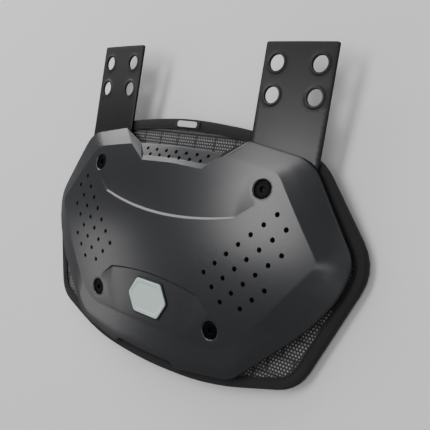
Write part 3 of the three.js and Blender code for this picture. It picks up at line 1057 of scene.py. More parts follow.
@dataclass
class Perforator:
    """Drills round holes with a softened lip through a piece."""

    diameter: float
    lip: float
    depth: float = 6
    sides: int = 20

    def cut(self, piece: Piece, places: Sequence[Copy]) -> Piece:
        """Drill the holes.

        Args:
            piece: The piece to drill.
            places: Each hole's place on the surface, the direction that it faces and its size.

        Returns:
            The drilled piece.
        """
        radius, lip, depth = (self.diameter / 2 * MM, self.lip * MM, self.depth * MM)
        wide = radius + lip
        profile = [(0, -depth), (radius, -depth), (radius, -lip)]
        profile += [(wide, lip / 2), (wide, depth / 2), (0, depth / 2)]
        drill = lathe("drill", profile, self.sides)
        points = place_points("vent_places", places)
        tree = NodeTree("Perforations")
        tree.takes("Places", "Object")
        tree.takes("Drill", "Object")
        spots = tree.node("GeometryNodeObjectInfo", {"Object": tree.named("Places")})
        drills = tree.copies(spots.outputs["Geometry"], "Drill")
        real = tree.node("GeometryNodeRealizeInstances", {"Geometry": drills})
        cut = tree.node("GeometryNodeMeshBoolean", {
            "Mesh 1": tree.named("Geometry"),
            "Mesh 2": real.outputs["Geometry"],
        }, operation="DIFFERENCE", solver="EXACT")
        tree.finish(cut.outputs["Mesh"])
        tree.apply(piece, places=points, drill=drill)
        discard(drill, points)
        return piece


@dataclass
class Strap:
    """A flat flexible strap with four bolt holes whose rims stand a little proud."""

    side: Side
    width: float = 50
    spread: float = 83.1
    reach: float = 63.4
    tuck: float = 12
    hole: float = 5.15
    spacing: Point = (30, 20)
    hole_to_tip: float = 13.3
    rim_height: float = 0.6
    rim_reach: float = 2.4
    rim_slope: float = 1.3
    edge: float = 0.35
    corner: float = 1.6
    step: float = 2.2
    sides: int = 48
    halo_sides: int = 40
    halo_shares: tuple[float, ...] = (0.28, 0.42, 0.56, 0.7, 0.85, 1)

    def _holes(self) -> list[Triple]:
        """Give each hole's place and radius, the screw's last."""
        middle = self.side.value * self.spread
        tip = SHELL_RISE + self.reach
        bolts = [
            (middle + column * self.spacing[0], tip - self.hole_to_tip - row * self.spacing[1], self.hole)
            for column in (-0.5, 0.5)
            for row in (0, 1)
        ]
        screw = next(p for p in SCREW_PLACES if p.x * self.side.value > 0 and p.y > 0)
        return bolts + [(screw.x, screw.y, SHANK_HOLE)]

    def _level(self, x: float, y: float) -> float:
        """Give the strap's middle height at a place, embossed round its bolt holes."""
        base = CURVE.rim(x) + CURVE.strap_lean * max(0.0, y - SHELL_RISE) / self.reach
        for hole_x, hole_y, radius in self._holes()[:-1]:
            past = math.dist((x, y), (hole_x, hole_y)) - radius
            if past < self.rim_reach:
                base += self.rim_height * ease((self.rim_reach - past) / self.rim_slope)
        return base

    def build(self, finish: PlasticFinish) -> Piece:
        """Build the strap.

        Args:
            finish: The strap's plastic.

        Returns:
            The finished piece.
        """
        middle = self.side.value * self.spread
        half = self.width / 2
        tip, foot = SHELL_RISE + self.reach, SCREW_HEIGHT - self.tuck
        left, right = middle - half, middle + half
        ends = ((left, foot), (right, foot), (right, tip), (left, tip))
        corners = [(Stop(x, y), self.corner) for x, y in ends]
        counts = LOOPS.counts(corners)
        surface = Surface()
        insets = (self.edge, self.edge * 0.3, 0)
        loops = [[(s.x, s.y) for s in LOOPS.loop(corners, counts, inset)] for inset in insets]
        self._edge(surface, loops)
        rims = []
        for x, y, radius in self._holes():
            grown = [circle(x, y, radius + inset, self.sides) for inset in insets]
            self._edge(surface, [list(reversed(ring)) for ring in grown])
            rims.append(grown[0])
        for x, y, radius in self._holes()[:-1]:
            rims += [circle(x, y, radius + self.rim_reach * k, self.halo_sides) for k in self.halo_shares]
        filled = PlanFill(loops[0], self.step, rims).make()

        def solid(spot: Point) -> bool:
            """Tell whether a place is outside the holes."""
            return all(math.dist(spot, (x, y)) > radius for x, y, radius in self._holes())

        surface.cap(filled, lambda x, y: self._level(x, y) + LEVELS.strap_front, True, solid)
        surface.cap(filled, lambda x, y: self._level(x, y) + LEVELS.strap_back, False, solid)
        node = f"strap_{self.side.name.lower()}"
        strap = surface.piece(f"{node}_moulded", sharp=50)
        dress(strap, finish)
        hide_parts(node)
        return strap

    def _edge(self, surface: Surface, loops: Sequence[Sequence[Point]]) -> None:
        """Make a rounded edge between the front and the back, from a face's loop outwards."""
        inner, nearly, outer = loops
        top, bottom = LEVELS.strap_front, LEVELS.strap_back
        turn = 0.1
        rows = [(inner, top), (nearly, top - turn), (outer, top - self.edge)]
        rows += [(outer, bottom + self.edge), (nearly, bottom + turn), (inner, bottom)]
        surface.loft([[(x, y, self._level(x, y) + level) for x, y in ring] for ring, level in reversed(rows)])


@dataclass
class Pad:
    """The foam pad under its spacer mesh, quilted in rows of cells, with a thin edge in the binding."""

    step: float = 2.0
    binding: float = 7.5
    tape: float = 1.3
    shoulder: float = 14
    cell: Point = (17.6, 12.6)
    groove: float = 0.7
    groove_reach: float = 1.6
    slope_shares: tuple[float, ...] = (1, 0.85, 0.7, 0.55, 0.4, 0.27, 0.15, 0.06)

    def _quilt(self, x: float, y: float) -> float:
        """Give how far the quilting's grooves lower the mesh, as a number below zero."""
        row = math.floor(y / self.cell[1])
        shift = 0.5 * (row % 2)
        across = (x / self.cell[0] + shift) % 1
        up = (y / self.cell[1]) % 1
        off = min(min(across, 1 - across) * self.cell[0], min(up, 1 - up) * self.cell[1])
        if off >= self.groove_reach:
            return 0.0
        share = 1 - off / self.groove_reach
        return -self.groove * share * share

    def build(self, finish: MeshFinish) -> Piece:
        """Build the pad.

        Args:
            finish: The pad's spacer mesh.

        Returns:
            The finished piece.
        """
        corners = placed(PAD_OUTLINE, PAD_HALF, PAD_RISE, PAD_FALL)
        counts = [max(2, count // 2) for count in LOOPS.counts(corners)]

        def ring(inset: float, level: float) -> Ring:
            """Lift one loop of the pad onto a level."""
            return [(s.x, s.y, CURVE.rim(s.x) + level) for s in LOOPS.loop(corners, counts, inset)]

        def slope(share: float) -> Ring:
            """Give a loop on the slope from the thin edge to the full thickness."""
            swelled = 0.5 * share + 0.5 * math.sin(share * math.pi / 2) ** 1.2
            level = mix(LEVELS.pad_edge_back, LEVELS.pad_back, swelled)
            return ring(self.binding + share * self.shoulder, level)

        surface = Surface()
        edge = self.tape
        rows = [slope(share) for share in self.slope_shares]
        rows += [ring(self.binding, LEVELS.pad_edge_back), ring(edge, LEVELS.pad_edge_back)]
        rows += [ring(edge, LEVELS.pad_front - 0.8), ring(edge + 0.5, LEVELS.pad_front)]
        surface.loft(rows)
        rim = {(round(x, 3), round(y, 3)) for x, y, _ in rows[-1]}

        def quilted(x: float, y: float) -> float:
            """Give the height of the quilted mesh, which is plain at its rim."""
            quilt = 0 if (round(x, 3), round(y, 3)) in rim else self._quilt(x, y)
            return CURVE.rim(x) + LEVELS.pad_front + quilt

        for row, height in ((rows[-1], quilted), (rows[0], lambda x, y: CURVE.rim(x) + LEVELS.pad_back)):
            filled = PlanFill([(x, y) for x, y, _ in row], self.step).make()
            surface.cap(filled, height, height is quilted)
        pad = surface.piece("pad_quilted", sharp=60)
        dress(pad, finish)
        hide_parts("pad")
        return pad


@dataclass
class Binding:
    """The knitted tape folded round the pad's edge, and the seam that holds it."""

    width: float = 7.5
    tape: float = 1.0
    round: float = 1.6
    seam: float = 6.0
    stitch: float = 2.4
    stitch_step: float = 3.4
    thread: float = 0.5

    def _section(self) -> list[Point]:
        """Give the tape's section as insets and levels, from its back's inner edge all the way round."""
        front, back, soft = LEVELS.binding_front, LEVELS.binding_back, self.round
        width, seam, tape = self.width, self.seam, self.tape
        section = [(width, back), (width * 0.6, back - 0.15), (soft, back)]
        section += [(soft * (1 - math.sin(a)), back + soft * (1 - math.cos(a))) for a in (0.5, 1.0)]
        section += [(0, back + soft), (-0.1, mix(back, front, 0.5)), (0, front - soft)]
        section += [(soft * (1 - math.cos(a)), front - soft * (1 - math.sin(a))) for a in (0.55, 1.05)]
        section += [(soft, front), (width * 0.5, front + 0.12), (seam - 0.7, front), (seam, front - 0.3)]
        section += [(seam + 0.7, front - 0.02), (width - 0.2, front - 0.1), (width, front - 0.4)]
        section += [(width, front - tape), (tape, front - tape), (tape, back + tape), (width, back + tape)]
        return section

    def build(self, finish: TapeFinish, thread: ThreadFinish) -> list[Piece]:
        """Build the tape and its stitches.

        Args:
            finish: The knitted tape.
            thread: The seam's thread.

        Returns:
            The finished pieces.
        """
        corners = placed(PAD_OUTLINE, PAD_HALF, PAD_RISE, PAD_FALL)
        counts = LOOPS.counts(corners)
        surface = Surface()
        rings = []
        for inset, level in self._section():
            loop = LOOPS.loop(corners, counts, inset)
            rings.append([(s.x, s.y, CURVE.rim(s.x) + level) for s in loop])
        surface.loft(rings, wrap=True)
        tape = surface.piece("binding_tape", sharp=60)
        dress(tape, finish)
        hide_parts("binding")
        seam = self._stitches(corners, counts, thread)
        return [tape, seam]

    def _stitches(self, corners: Corners, counts: Sequence[int], thread: ThreadFinish) -> Piece:
        """Run the seam's stitches round the front and the back of the tape."""
        mesh = bpy.data.meshes.new("seam_path")
        points: list[Vector] = []
        edges: list[tuple[int, int]] = []
        for level in (LEVELS.binding_front - 0.15, LEVELS.binding_back - 0.1):
            start = len(points)
            loop = LOOPS.loop(corners, counts, self.seam)
            points += [PLATE.place(s.x, s.y, CURVE.rim(s.x) + level) for s in loop]
            edges += [(i, i + 1) for i in range(start, len(points) - 1)] + [(len(points) - 1, start)]
        mesh.from_pydata(points, edges, [])
        seam = add_object("binding_seam", mesh)
        tree = NodeTree("Stitches")
        for name in ("Length", "Spacing", "Thickness"):
            tree.takes(name, "Float")
        path = tree.node("GeometryNodeMeshToCurve", {"Mesh": tree.named("Geometry")})
        spots = tree.node("GeometryNodeCurveToPoints", {
            "Curve": path.outputs["Curve"],
            "Length": tree.named("Spacing"),
        }, mode="LENGTH")
        bead = tree.node("GeometryNodeMeshUVSphere", {"Segments": 8, "Rings": 6, "Radius": 0.5})
        shape = tree.node("ShaderNodeCombineXYZ", {
            "X": tree.named("Thickness"),
            "Y": tree.named("Thickness"),
            "Z": tree.named("Length"),
        })
        copies = tree.node("GeometryNodeInstanceOnPoints", {
            "Points": spots.outputs["Points"],
            "Instance": bead.outputs["Mesh"],
            "Rotation": spots.outputs["Rotation"],
            "Scale": shape.outputs["Vector"],
        })
        even = tree.node("GeometryNodeSetShadeSmooth", {"Geometry": copies.outputs["Instances"]})
        tree.finish(even.outputs["Geometry"], thread.make())
        tree.apply(seam, length=self.stitch * MM, spacing=self.stitch_step * MM, thickness=self.thread * MM)
        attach(seam, "root")
        return seam


@dataclass
class Screws:
    """The four black screws, with a rounded head and a six-sided socket."""

    head: float = 5.7
    head_height: float = 2.2
    sink: float = 0.9
    socket: float = 2.0
    socket_depth: float = 1.4
    shank: float = 2.5
    length: float = 9.0
    groove: tuple[float, float, float, float] = (4.3, 4.15, 3.9, 3.75)
    sides: int = 48

    def build(self, finish: SteelFinish) -> Piece:
        """Build one screw, and set a copy at each place.

        Args:
            finish: The screws' black steel.

        Returns:
            The finished piece.
        """
        bottom, head, shank, socket = -self.head_height, self.head, self.shank, self.socket
        tip = bottom - self.length
        # Each ring's radius and height, from the shank's tip over the head and its groove to the socket
        profile = [(0, tip), (shank - 0.5, tip), (shank, tip + 0.6), (shank, bottom), (head - 0.3, bottom)]
        profile += [(head, bottom + 0.3), (head, -0.6), (head - 0.18, -0.18), (head - 0.6, 0)]
        profile += list(zip(self.groove, (0, -0.25, -0.25, 0)))
        profile += [(socket + 0.35, 0), (socket, -0.3)]
        master = lathe("screw_master", [(r * MM, z * MM) for r, z in profile], self.sides)
        self._socket(master)
        places = []
        for place in SCREW_PLACES:
            spot = (place.x, place.y, CURVE.face(place.x, place.y) - self.sink)
            places.append((PLATE.place(*spot), PLATE.turn(CURVE.face_lean(place.x, place.y)), 1.0))
        screws = place_points("screws", places)
        tree = NodeTree("Screws")
        tree.takes("Screw", "Object")
        tree.finish(tree.copies(tree.named("Geometry"), "Screw"), finish.make())
        tree.apply(screws, screw=master)
        discard(master)
        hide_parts(*(place.node for place in SCREW_PLACES))
        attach(screws, "root")
        return screws

    def _socket(self, master: Piece) -> None:
        """Sink a six-sided socket into the head's open middle."""
        shaped = bmesh.new()
        shaped.from_mesh(master.data)
        rim = {vert for edge in shaped.edges if edge.is_boundary for vert in edge.verts}
        ring = sorted(rim, key=lambda vert: math.atan2(vert.co.y, vert.co.x))
        depth = -self.socket_depth * MM
        flat = math.cos(math.pi / 6)

        def hexagon(vert: bmesh.types.BMVert, height: float) -> bmesh.types.BMVert:
            """Draw a point of the round rim in to the six-sided socket."""
            turn = math.atan2(vert.co.y, vert.co.x) % (math.pi / 3) - math.pi / 6
            radius = self.socket * MM * flat / math.cos(turn)
            share = radius / math.hypot(vert.co.x, vert.co.y)
            return shaped.verts.new((vert.co.x * share, vert.co.y * share, height))

        top = [hexagon(vert, vert.co.z) for vert in ring]
        low = [hexagon(vert, depth) for vert in ring]
        for upper, lower in ((ring, top), (top, low)):
            for i in range(len(ring)):
                following = (i + 1) % len(ring)
                shaped.faces.new((upper[i], upper[following], lower[following], lower[i]))
        shaped.faces.new(low)
        bmesh.ops.recalc_face_normals(shaped, faces=shaped.faces)
        shaped.to_mesh(master.data)
        shaped.free()
        smooth(master.data, 35)


@dataclass
class Badge:
    """A plain six-sided badge on a thin dark base."""

    half_width: float = 20
    half_height: float = 13
    waist: float = 0.62
    thickness: float = 1.2
    base: float = 0.55
    lift: float = 0.3
    cut: float = 2

    def _spots(self, grow: float) -> list[tuple[Stop, float]]:
        """Give the badge's corners, grown or shrunk by a distance."""
        top = BADGE_PANEL.middle * FACE_FALL - BADGE_PANEL.run
        bottom = BADGE_PANEL.far * FACE_FALL
        centre = (top + bottom) / 2
        wide, high = self.half_width + grow, self.half_height + grow
        shares = ((1, 0), (self.waist, 1), (-self.waist, 1), (-1, 0), (-self.waist, -1), (self.waist, -1))
        return [(Stop(across * wide, centre + up * high), self.cut) for across, up in shares]

    def _block(self, name: str, rows: Sequence[tuple[float, float]], floor: Height) -> Piece:
        """Make a closed six-sided block from rings that each have a growth and a level."""
        counts = [6] * 6
        surface = Surface()
        rings = []
        for grow, level in rows:
            loop = LOOPS.loop(self._spots(grow), counts)
            rings.append([(s.x, s.y, floor(s.x, s.y) + level) for s in loop])
        numbers = surface.loft(rings)
        for row, up in ((numbers[0], False), (numbers[-1], True)):
            centre = self._spots(0)[0][0].y
            middle = surface.add([(0, centre, floor(0, centre) + (rows[-1] if up else rows[0])[1])])[0]
            for i in range(len(row)):
                pair = (row[i], row[(i + 1) % len(row)])
                surface.faces.append((*(pair if up else reversed(pair)), middle))
        return surface.piece(name, sharp=50)

    def build(self, finish: RubberFinish, base_finish: RubberFinish) -> list[Piece]:
        """Build the badge and its base.

        Args:
            finish: The badge's rubber.
            base_finish: The base's rubber.

        Returns:
            The finished pieces.
        """
        shell = Shell()

        def floor(x: float, y: float) -> float:
            """Give the height that the badge sits on."""
            return shell.height(x, y) + self.lift

        top, sunk = self.thickness, self.thickness - 0.3
        # Each ring's growth and level, from the foot over the raised rim to the sunk middle
        face = [(-1.1, 0), (-1.0, top - 0.35), (-1.15, top - 0.1), (-1.5, top)]
        face += [(-3.6, top), (-3.9, sunk), (-4.3, sunk)]
        badge = self._block("badge_face", face, floor)
        dress(badge, finish)
        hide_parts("badge")
        rows = [(-0.3, -0.25), (0, 0), (0, self.base - 0.2), (-0.3, self.base)]
        base = self._block("badge_base", rows, floor)
        dress(base, base_finish)
        return [badge, base]


@dataclass
class Label:
    """A small plain woven label on the binding, with a light bar."""

    width: float = 24
    height: float = 5.2
    drop: float = 2.3
    thickness: float = 0.6
    lift: float = 0.3
    bar: Point = (9.4, 2.1)
    bar_thickness: float = 0.2
    step: float = 1.2

    def build(self, finish: TapeFinish, bar_finish: ThreadFinish) -> list[Piece]:
        """Build the label and its bar.

        Args:
            finish: The label's weave.
            bar_finish: The bar's light thread.

        Returns:
            The finished pieces.
        """
        top = PAD_RISE - self.drop
        rise = self.height / 2
        middle = top - rise
        label = self._sheet("label_woven", (self.width / 2, rise), 0.8, middle, 0)
        dress(label, finish)
        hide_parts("label")
        bar = self._sheet("label_bar", self.bar, self.bar[1], middle, self.thickness - 0.1)
        dress(bar, bar_finish)
        return [label, bar]

    def _sheet(self, name: str, reach: Point, cut: float, middle: float, level: float) -> Piece:
        """Make a thin rounded sheet that follows the pad's curve."""
        half, rise = reach
        spots = ((-half, -rise), (half, -rise), (half, rise), (-half, rise))
        corners = [(Stop(x, middle + y), cut) for x, y in spots]
        maker = LoopMaker(corner_steps=8, edge_step=self.step, largest_cut=0.49)
        counts = maker.counts(corners)
        base = LEVELS.binding_front + self.lift + level
        thick = self.bar_thickness if level else self.thickness
        surface = Surface()
        rows = [(0.1, 0), (0, 0.08), (0, thick - 0.12), (0.14, thick)]
        rings = []
        for inset, up in rows:
            loop = maker.loop(corners, counts, inset)
            rings.append([(s.x, s.y, CURVE.rim(s.x) + base + up) for s in loop])
        surface.loft(rings)
        for ring, side in ((rings[0], base), (rings[-1], base + thick)):
            filled = PlanFill([(x, y) for x, y, _ in ring], self.step).make()
            surface.cap(filled, lambda x, y: CURVE.rim(x) + side, side > base)
        return surface.piece(name, sharp=60)


class ShaderGroup:
    """A shader node group that several materials place with their own values."""

    made: dict[str, bpy.types.NodeTree] = {}

    @classmethod
    def get(
        cls, name: str, takes: dict[str, float], gives: Sequence[str], build: Recipe
    ) -> bpy.types.NodeTree:
        """Give a group, and build it the first time.

        Args:
            name: The group's name.
            takes: Its number inputs with their usual values; it also takes a Vector.
            gives: The names of its outputs.
            build: Builds the nodes and gives each output's socket.

        Returns:
            The group's tree.
        """
        if name not in cls.made:
            tree = bpy.data.node_groups.new(name, "ShaderNodeTree")
            tree.interface.new_socket("Vector", in_out="INPUT", socket_type="NodeSocketVector")
            for key, value in takes.items():
                socket = tree.interface.new_socket(key, in_out="INPUT", socket_type="NodeSocketFloat")
                socket.default_value = value
            for key in gives:
                tree.interface.new_socket(key, in_out="OUTPUT", socket_type="NodeSocketFloat")
            entry = tree.nodes.new("NodeGroupInput")
            leave = tree.nodes.new("NodeGroupOutput")
            for key, socket in build(Bench(tree), entry).items():
                tree.links.new(socket, leave.inputs[key])
            cls.made[name] = tree
        return cls.made[name]


def moulded_grain() -> bpy.types.NodeTree:
    """Give the fine grain of moulded plastic: a height, and a slow change of tone."""

    def build(bench: Bench, entry: bpy.types.Node) -> dict[str, Socket]:
        """Build the grain from two noises."""
        place = entry.outputs["Vector"]
        fine = bench.noise(place, entry.outputs["Scale"], 3.0)
        return {"Height": fine, "Tone": bench.noise(place, entry.outputs["Patch"])}

    return ShaderGroup.get("MouldedGrain", {"Scale": 1400, "Patch": 18}, ("Height", "Tone"), build)


def knit_rib() -> bpy.types.NodeTree:
    """Give the fine ribs of a knitted tape or a woven label: a height and a tone."""

    def build(bench: Bench, entry: bpy.types.Node) -> dict[str, Socket]:
        """Build the ribs from two crossed waves and a noise."""
        place = entry.outputs["Vector"]
        axes = bench.node("SeparateXYZ", {0: place})
        across = bench.math("MULTIPLY", axes.outputs["X"], entry.outputs["Ribs"])
        up = bench.math("MULTIPLY", axes.outputs["Y"], entry.outputs["Ribs"])
        wave = bench.math("MULTIPLY", bench.math("SINE", across), bench.math("SINE", up))
        fuzz = bench.noise(place, 900.0, 3.0)
        height = bench.math("ADD", bench.math("MULTIPLY", wave, 0.5), fuzz)
        return {"Height": height, "Tone": fuzz}

    return ShaderGroup.get("KnitRib", {"Ribs": 9000}, ("Height", "Tone"), build)


def spacer_mesh() -> bpy.types.NodeTree:
    """Give a spacer mesh: light knots in staggered rows, in cells parted by plain grooves."""

    def build(bench: Bench, entry: bpy.types.Node) -> dict[str, Socket]:
        """Build the knots and the cells from the place alone."""
        axes = bench.node("SeparateXYZ", {0: entry.outputs["Vector"]})
        x, y = axes.outputs["X"], axes.outputs["Y"]

        def staggered(wide: object, high: object) -> tuple[Socket, Socket]:
            """Give the distances to the middle of a staggered lattice's nearest place."""
            row = bench.math("DIVIDE", y, high)
            odd = bench.math("FLOORED_MODULO", bench.math("FLOOR", row), 2.0)
            column = bench.math("ADD", bench.math("DIVIDE", x, wide), bench.math("MULTIPLY", odd, 0.5))
            across = bench.math("SUBTRACT", bench.math("FRACT", column), 0.5)
            up = bench.math("SUBTRACT", bench.math("FRACT", row), 0.5)
            return bench.math("MULTIPLY", across, wide), bench.math("MULTIPLY", up, high)

        across, up = staggered(entry.outputs["Knot across"], entry.outputs["Knot up"])
        square = bench.math("ADD", bench.math("MULTIPLY", across, across), bench.math("MULTIPLY", up, up))
        off = bench.math("DIVIDE", bench.math("SQRT", square), entry.outputs["Knot size"])
        inner = bench.math("MAXIMUM", bench.math("SUBTRACT", 1.6, off), 0.0)
        knot = bench.math("SMOOTH_MIN", 1.0, inner, 0.3)
        wide, high = entry.outputs["Cell across"], entry.outputs["Cell up"]
        cell_x, cell_y = staggered(wide, high)
        side = bench.math("SUBTRACT", bench.math("MULTIPLY", wide, 0.5), bench.math("ABSOLUTE", cell_x))
        top = bench.math("SUBTRACT", bench.math("MULTIPLY", high, 0.5), bench.math("ABSOLUTE", cell_y))
        near = bench.math("DIVIDE", bench.math("MINIMUM", side, top), entry.outputs["Groove"])
        inside = bench.math("MINIMUM", near, 1.0)
        return {"Knot": bench.math("MULTIPLY", knot, inside)}

    sizes = {"Knot across": 0.0022, "Knot up": 0.0021, "Knot size": 0.0006}
    sizes |= {"Cell across": 0.0176, "Cell up": 0.0126, "Groove": 0.0016}
    return ShaderGroup.get("SpacerMesh", sizes, ("Knot",), build)


class Finish:
    """A material. Each kind of finish gives what goes into the shader."""

    name: str

    def inputs(self, bench: Bench, place: Socket) -> Links:
        """Give the shader's inputs, each a value or a socket.

        Args:
            bench: Adds the material's nodes.
            place: The place on the object.

        Returns:
            The inputs by name.
        """
        raise NotImplementedError

    def make(self) -> bpy.types.Material:
        """Build the material."""
        material = bpy.data.materials.new(self.name)
        material.use_nodes = True
        bench = Bench(material.node_tree)
        place = bench.node("TexCoord").outputs["Object"]
        bench.fill(material.node_tree.nodes["Principled BSDF"], self.inputs(bench, place))
        return material


@dataclass(frozen=True)
class PlasticFinish(Finish):
    """A satin moulded plastic with a fine grain, which may get more matt up the plate."""

    name: str
    dark: Triple
    light: Triple
    roughness: float
    specular: float
    grain: float = 0.04
    scale: float = 1400
    matt_from: float = 1.0
    matt_gain: float = 0.0

    def inputs(self, bench: Bench, place: Socket) -> Links:
        """Give the shader's inputs."""
        grain = bench.group(moulded_grain(), place, Scale=self.scale)
        tone = grain.outputs["Tone"]
        rough = bench.math("ADD", bench.math("MULTIPLY", tone, 0.03), self.roughness - 0.015)
        if self.matt_gain:
            up = bench.node("SeparateXYZ", {0: place}).outputs["Y"]
            past = bench.math("MAXIMUM", bench.math("SUBTRACT", up, self.matt_from), 0.0)
            rough = bench.math("ADD", rough, bench.math("MULTIPLY", past, self.matt_gain))
        return {
            "Base Color": bench.blend(tone, self.dark, self.light),
            "Roughness": rough,
            "Normal": bench.bump(grain.outputs["Height"], self.grain),
            "Specular IOR Level": self.specular,
        }


@dataclass(frozen=True)
class MeshFinish(Finish):
    """A spacer mesh of light knots over a darker ground."""

    name: str = "spacer_mesh"
    ground: Triple = (0.018, 0.018, 0.019)
    knot: Triple = (0.30, 0.30, 0.30)
    roughness: float = 0.85

    def inputs(self, bench: Bench, place: Socket) -> Links:
        """Give the shader's inputs."""
        mesh = bench.group(spacer_mesh(), place)
        fuzz = bench.noise(place, 700.0)
        share = bench.math("MULTIPLY", mesh.outputs["Knot"], bench.math("ADD", fuzz, 0.45))
        return {
            "Base Color": bench.blend(share, self.ground, self.knot),
            "Normal": bench.bump(mesh.outputs["Knot"], 0.8, 0.0004),
            "Roughness": self.roughness,
            "Sheen Weight": 0.1,
        }


@dataclass(frozen=True)
class TapeFinish(Finish):
    """A knitted tape or a woven label."""

    name: str
    dark: Triple
    light: Triple
    ribs: float = 9000
    relief: float = 0.35

    def inputs(self, bench: Bench, place: Socket) -> Links:
        """Give the shader's inputs."""
        knit = bench.group(knit_rib(), place, Ribs=self.ribs)
        return {
            "Base Color": bench.blend(knit.outputs["Tone"], self.dark, self.light),
            "Normal": bench.bump(knit.outputs["Height"], self.relief, 0.0003),
            "Roughness": 0.88,
            "Sheen Weight": 0.05,
        }


@dataclass(frozen=True)
class ThreadFinish(Finish):
    """A twisted thread."""

    name: str
    colour: Triple
    shade: float = 0.6

    def inputs(self, bench: Bench, place: Socket) -> Links:
        """Give the shader's inputs."""
        twist = bench.noise(place, 1500.0)
        darker = tuple(value * self.shade for value in self.colour)
        return {
            "Base Color": bench.blend(twist, darker, self.colour),
            "Normal": bench.bump(twist, 0.3),
            "Roughness": 0.8,
        }


@dataclass(frozen=True)
class SteelFinish(Finish):
    """Black oxidised steel."""

    name: str = "black_oxide_steel"
    dark: Triple = (0.001, 0.001, 0.001)
    light: Triple = (0.003, 0.003, 0.003)
    specular: float = 0.07

    def inputs(self, bench: Bench, place: Socket) -> Links:
        """Give the shader's inputs."""
        grain = bench.group(moulded_grain(), place, Scale=2600).outputs["Height"]
        return {
            "Base Color": bench.blend(grain, self.dark, self.light),
            "Roughness": bench.math("ADD", bench.math("MULTIPLY", grain, 0.2), 0.28),
            "Specular IOR Level": self.specular,
        }


@dataclass(frozen=True)
class RubberFinish(Finish):
    """Matt moulded rubber."""

    name: str
    colour: Triple
    roughness: float = 0.6
    shade: float = 0.93

    def inputs(self, bench: Bench, place: Socket) -> Links:
        """Give the shader's inputs."""
        grain = bench.group(moulded_grain(), place, Scale=2000)
        darker = tuple(value * self.shade for value in self.colour)
        return {
            "Base Color": bench.blend(grain.outputs["Tone"], darker, self.colour),
            "Normal": bench.bump(grain.outputs["Height"], 0.08),
            "Roughness": self.roughness,
        }


@dataclass(frozen=True)
class FloorFinish(Finish):
    """A pale matt floor."""

    name: str = "pale_floor"
    dark: Triple = (0.93, 0.93, 0.93)
    light: Triple = (0.95, 0.95, 0.95)

    def inputs(self, bench: Bench, place: Socket) -> Links:
        """Give the shader's inputs."""
        return {"Base Color": bench.blend(bench.noise(place, 3.0), self.dark, self.light), "Roughness": 0.9}


def dress(piece: Piece, finish: Finish) -> None:
    """Give a piece its finish and let it ride on the model.

    Args:
        piece: The piece.
        finish: Its finish.
    """
    piece.data.materials.clear()
    piece.data.materials.append(finish.make())
    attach(piece, "root")


@dataclass(frozen=True)
class SoftLight:
    """A soft light that faces the plate."""

    name: str
    direction: Triple
    size: Point
    glow: float
    distance: float = 2.0

    def make(self, target: Vector) -> None:
        """Hang the light, with its height along the plate's, and aim it."""
        lamp = bpy.data.lights.new(self.name, "AREA")
        lamp.shape = "RECTANGLE"
        lamp.size, lamp.size_y = self.size
        lamp.energy = self.glow * math.pi * self.size[0] * self.size[1]
        light = add_object(self.name, lamp)
        away = Vector(self.direction).normalized()
        along = (Vector((0, 1, 0)) - away * away.y).normalized()
        turn = Matrix((along.cross(away), along, away)).transposed()
        light.matrix_world = Matrix.Translation(target + away * self.distance) @ turn.to_4x4()


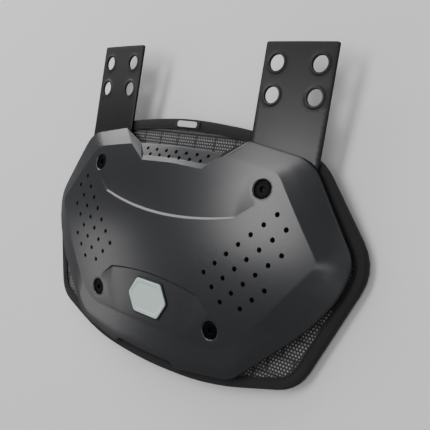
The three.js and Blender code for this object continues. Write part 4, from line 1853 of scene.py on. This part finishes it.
@dataclass
class Studio:
    """The pale floor, the soft lights and the camera at the photo's angle."""

    eye: Triple = (0.29564, 0.00520, 0.31780)
    right: Triple = (0.741119, 0.205074, -0.639287)
    down: Triple = (0.165613, -0.978624, -0.121934)
    lens: float = 50
    sensor: float = 36
    floor_size: float = 6
    world: float = 0.25
    lights: tuple[SoftLight, ...] = (
        SoftLight("overhead", (-0.36, 0.20, 0.91), (0.6, 1.5), 6.0),
        SoftLight("near_side", (-0.83, -0.30, 0.47), (0.46, 0.61), 2.2),
        SoftLight("far_side", (-0.80, 0.54, 0.30), (0.6, 1.0), 5.4),
        SoftLight("arc", (-0.60, 0.68, 0.42), (0.3, 0.4), 4.0),
        SoftLight("edge", (0.26, -0.21, 0.94), (0.89, 0.5), 2.6),
        SoftLight("top", (-0.32, 0.59, 0.74), (0.45, 0.45), 3.0),
        SoftLight("back", (-0.26, 0.90, 0.33), (0.8, 0.6), 3),
        SoftLight("fill", (0.75, 0.45, 0.55), (2.0, 2.0), 0.4),
    )

    def build(self) -> None:
        """Make the camera, the floor, the world and the lights."""
        self._camera()
        self._floor()
        world = bpy.data.worlds.new("studio")
        bpy.context.scene.world = world
        world.use_nodes = True
        sky = {"Color": (1, 1, 1, 1), "Strength": self.world}
        Bench(world.node_tree).fill(world.node_tree.nodes["Background"], sky)
        low, high = (Vector(corner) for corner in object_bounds())
        for light in self.lights:
            light.make((low + high) / 2)

    def _camera(self) -> None:
        """Make the camera."""
        lens = bpy.data.cameras.new("camera")
        lens.lens = self.lens
        lens.sensor_width = self.sensor
        lens.clip_start = 0.01
        camera = add_object("camera", lens)
        across = Vector(self.right).normalized()
        up = -Vector(self.down)
        up = (up - across * up.dot(across)).normalized()
        turn = Matrix((across, up, across.cross(up))).transposed()
        camera.matrix_world = Matrix.Translation(self.eye) @ turn.to_4x4()
        bpy.context.scene.camera = camera

    def _floor(self) -> None:
        """Make the floor, which the plate's glossy sides don't mirror."""
        half = self.floor_size / 2
        mesh = bpy.data.meshes.new("floor")
        corners = [(-half, -half, 0), (half, -half, 0), (half, half, 0), (-half, half, 0)]
        mesh.from_pydata(corners, [], [(0, 1, 2, 3)])
        mesh.materials.append(FloorFinish().make())
        floor = add_object("floor", mesh)
        floor.visible_glossy = False
        floor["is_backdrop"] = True


def main() -> None:
    """Build the looks, piece by piece, and gather the sizes before and after."""
    logging.basicConfig(level=logging.INFO, format="%(message)s")
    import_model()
    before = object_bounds()
    Studio().build()
    shell_plastic = PlasticFinish(
        "shell_plastic", (0.0125, 0.0132, 0.0165), (0.0150, 0.0158, 0.0195), 0.27, specular=0.72
    )
    strap_plastic = PlasticFinish(
        "strap_plastic",
        (0.012, 0.012, 0.0125),
        (0.015, 0.015, 0.0155),
        0.28,
        specular=0.36,
        matt_from=0.05,
        matt_gain=6.0,
    )
    tape = TapeFinish("binding_knit", (0.010, 0.010, 0.010), (0.018, 0.018, 0.018))
    woven = TapeFinish("label_weave", (0.016, 0.016, 0.016), (0.03, 0.03, 0.03), ribs=14000)
    black_thread = ThreadFinish("black_thread", (0.006, 0.006, 0.006))
    light_thread = ThreadFinish("light_thread", (0.8, 0.8, 0.8))
    pieces = [Shell().build(shell_plastic)]
    pieces += [Strap(side).build(strap_plastic) for side in Side]
    pieces.append(Pad().build(MeshFinish()))
    pieces += Binding().build(tape, black_thread)
    pieces.append(Screws().build(SteelFinish()))
    pieces += Badge().build(
        RubberFinish("badge_rubber", (0.62, 0.74, 0.69)),
        RubberFinish("badge_base_rubber", (0.012, 0.013, 0.014)),
    )
    pieces += Label().build(woven, light_thread)
    for piece in pieces:
        LOG.info("%s: %d faces", piece.name, len(piece.data.polygons))
    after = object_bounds()
    sizes = {name: [list(corner) for corner in box] for name, box in (("cad", before), ("visual", after))}


if __name__ == "__main__":
    main()
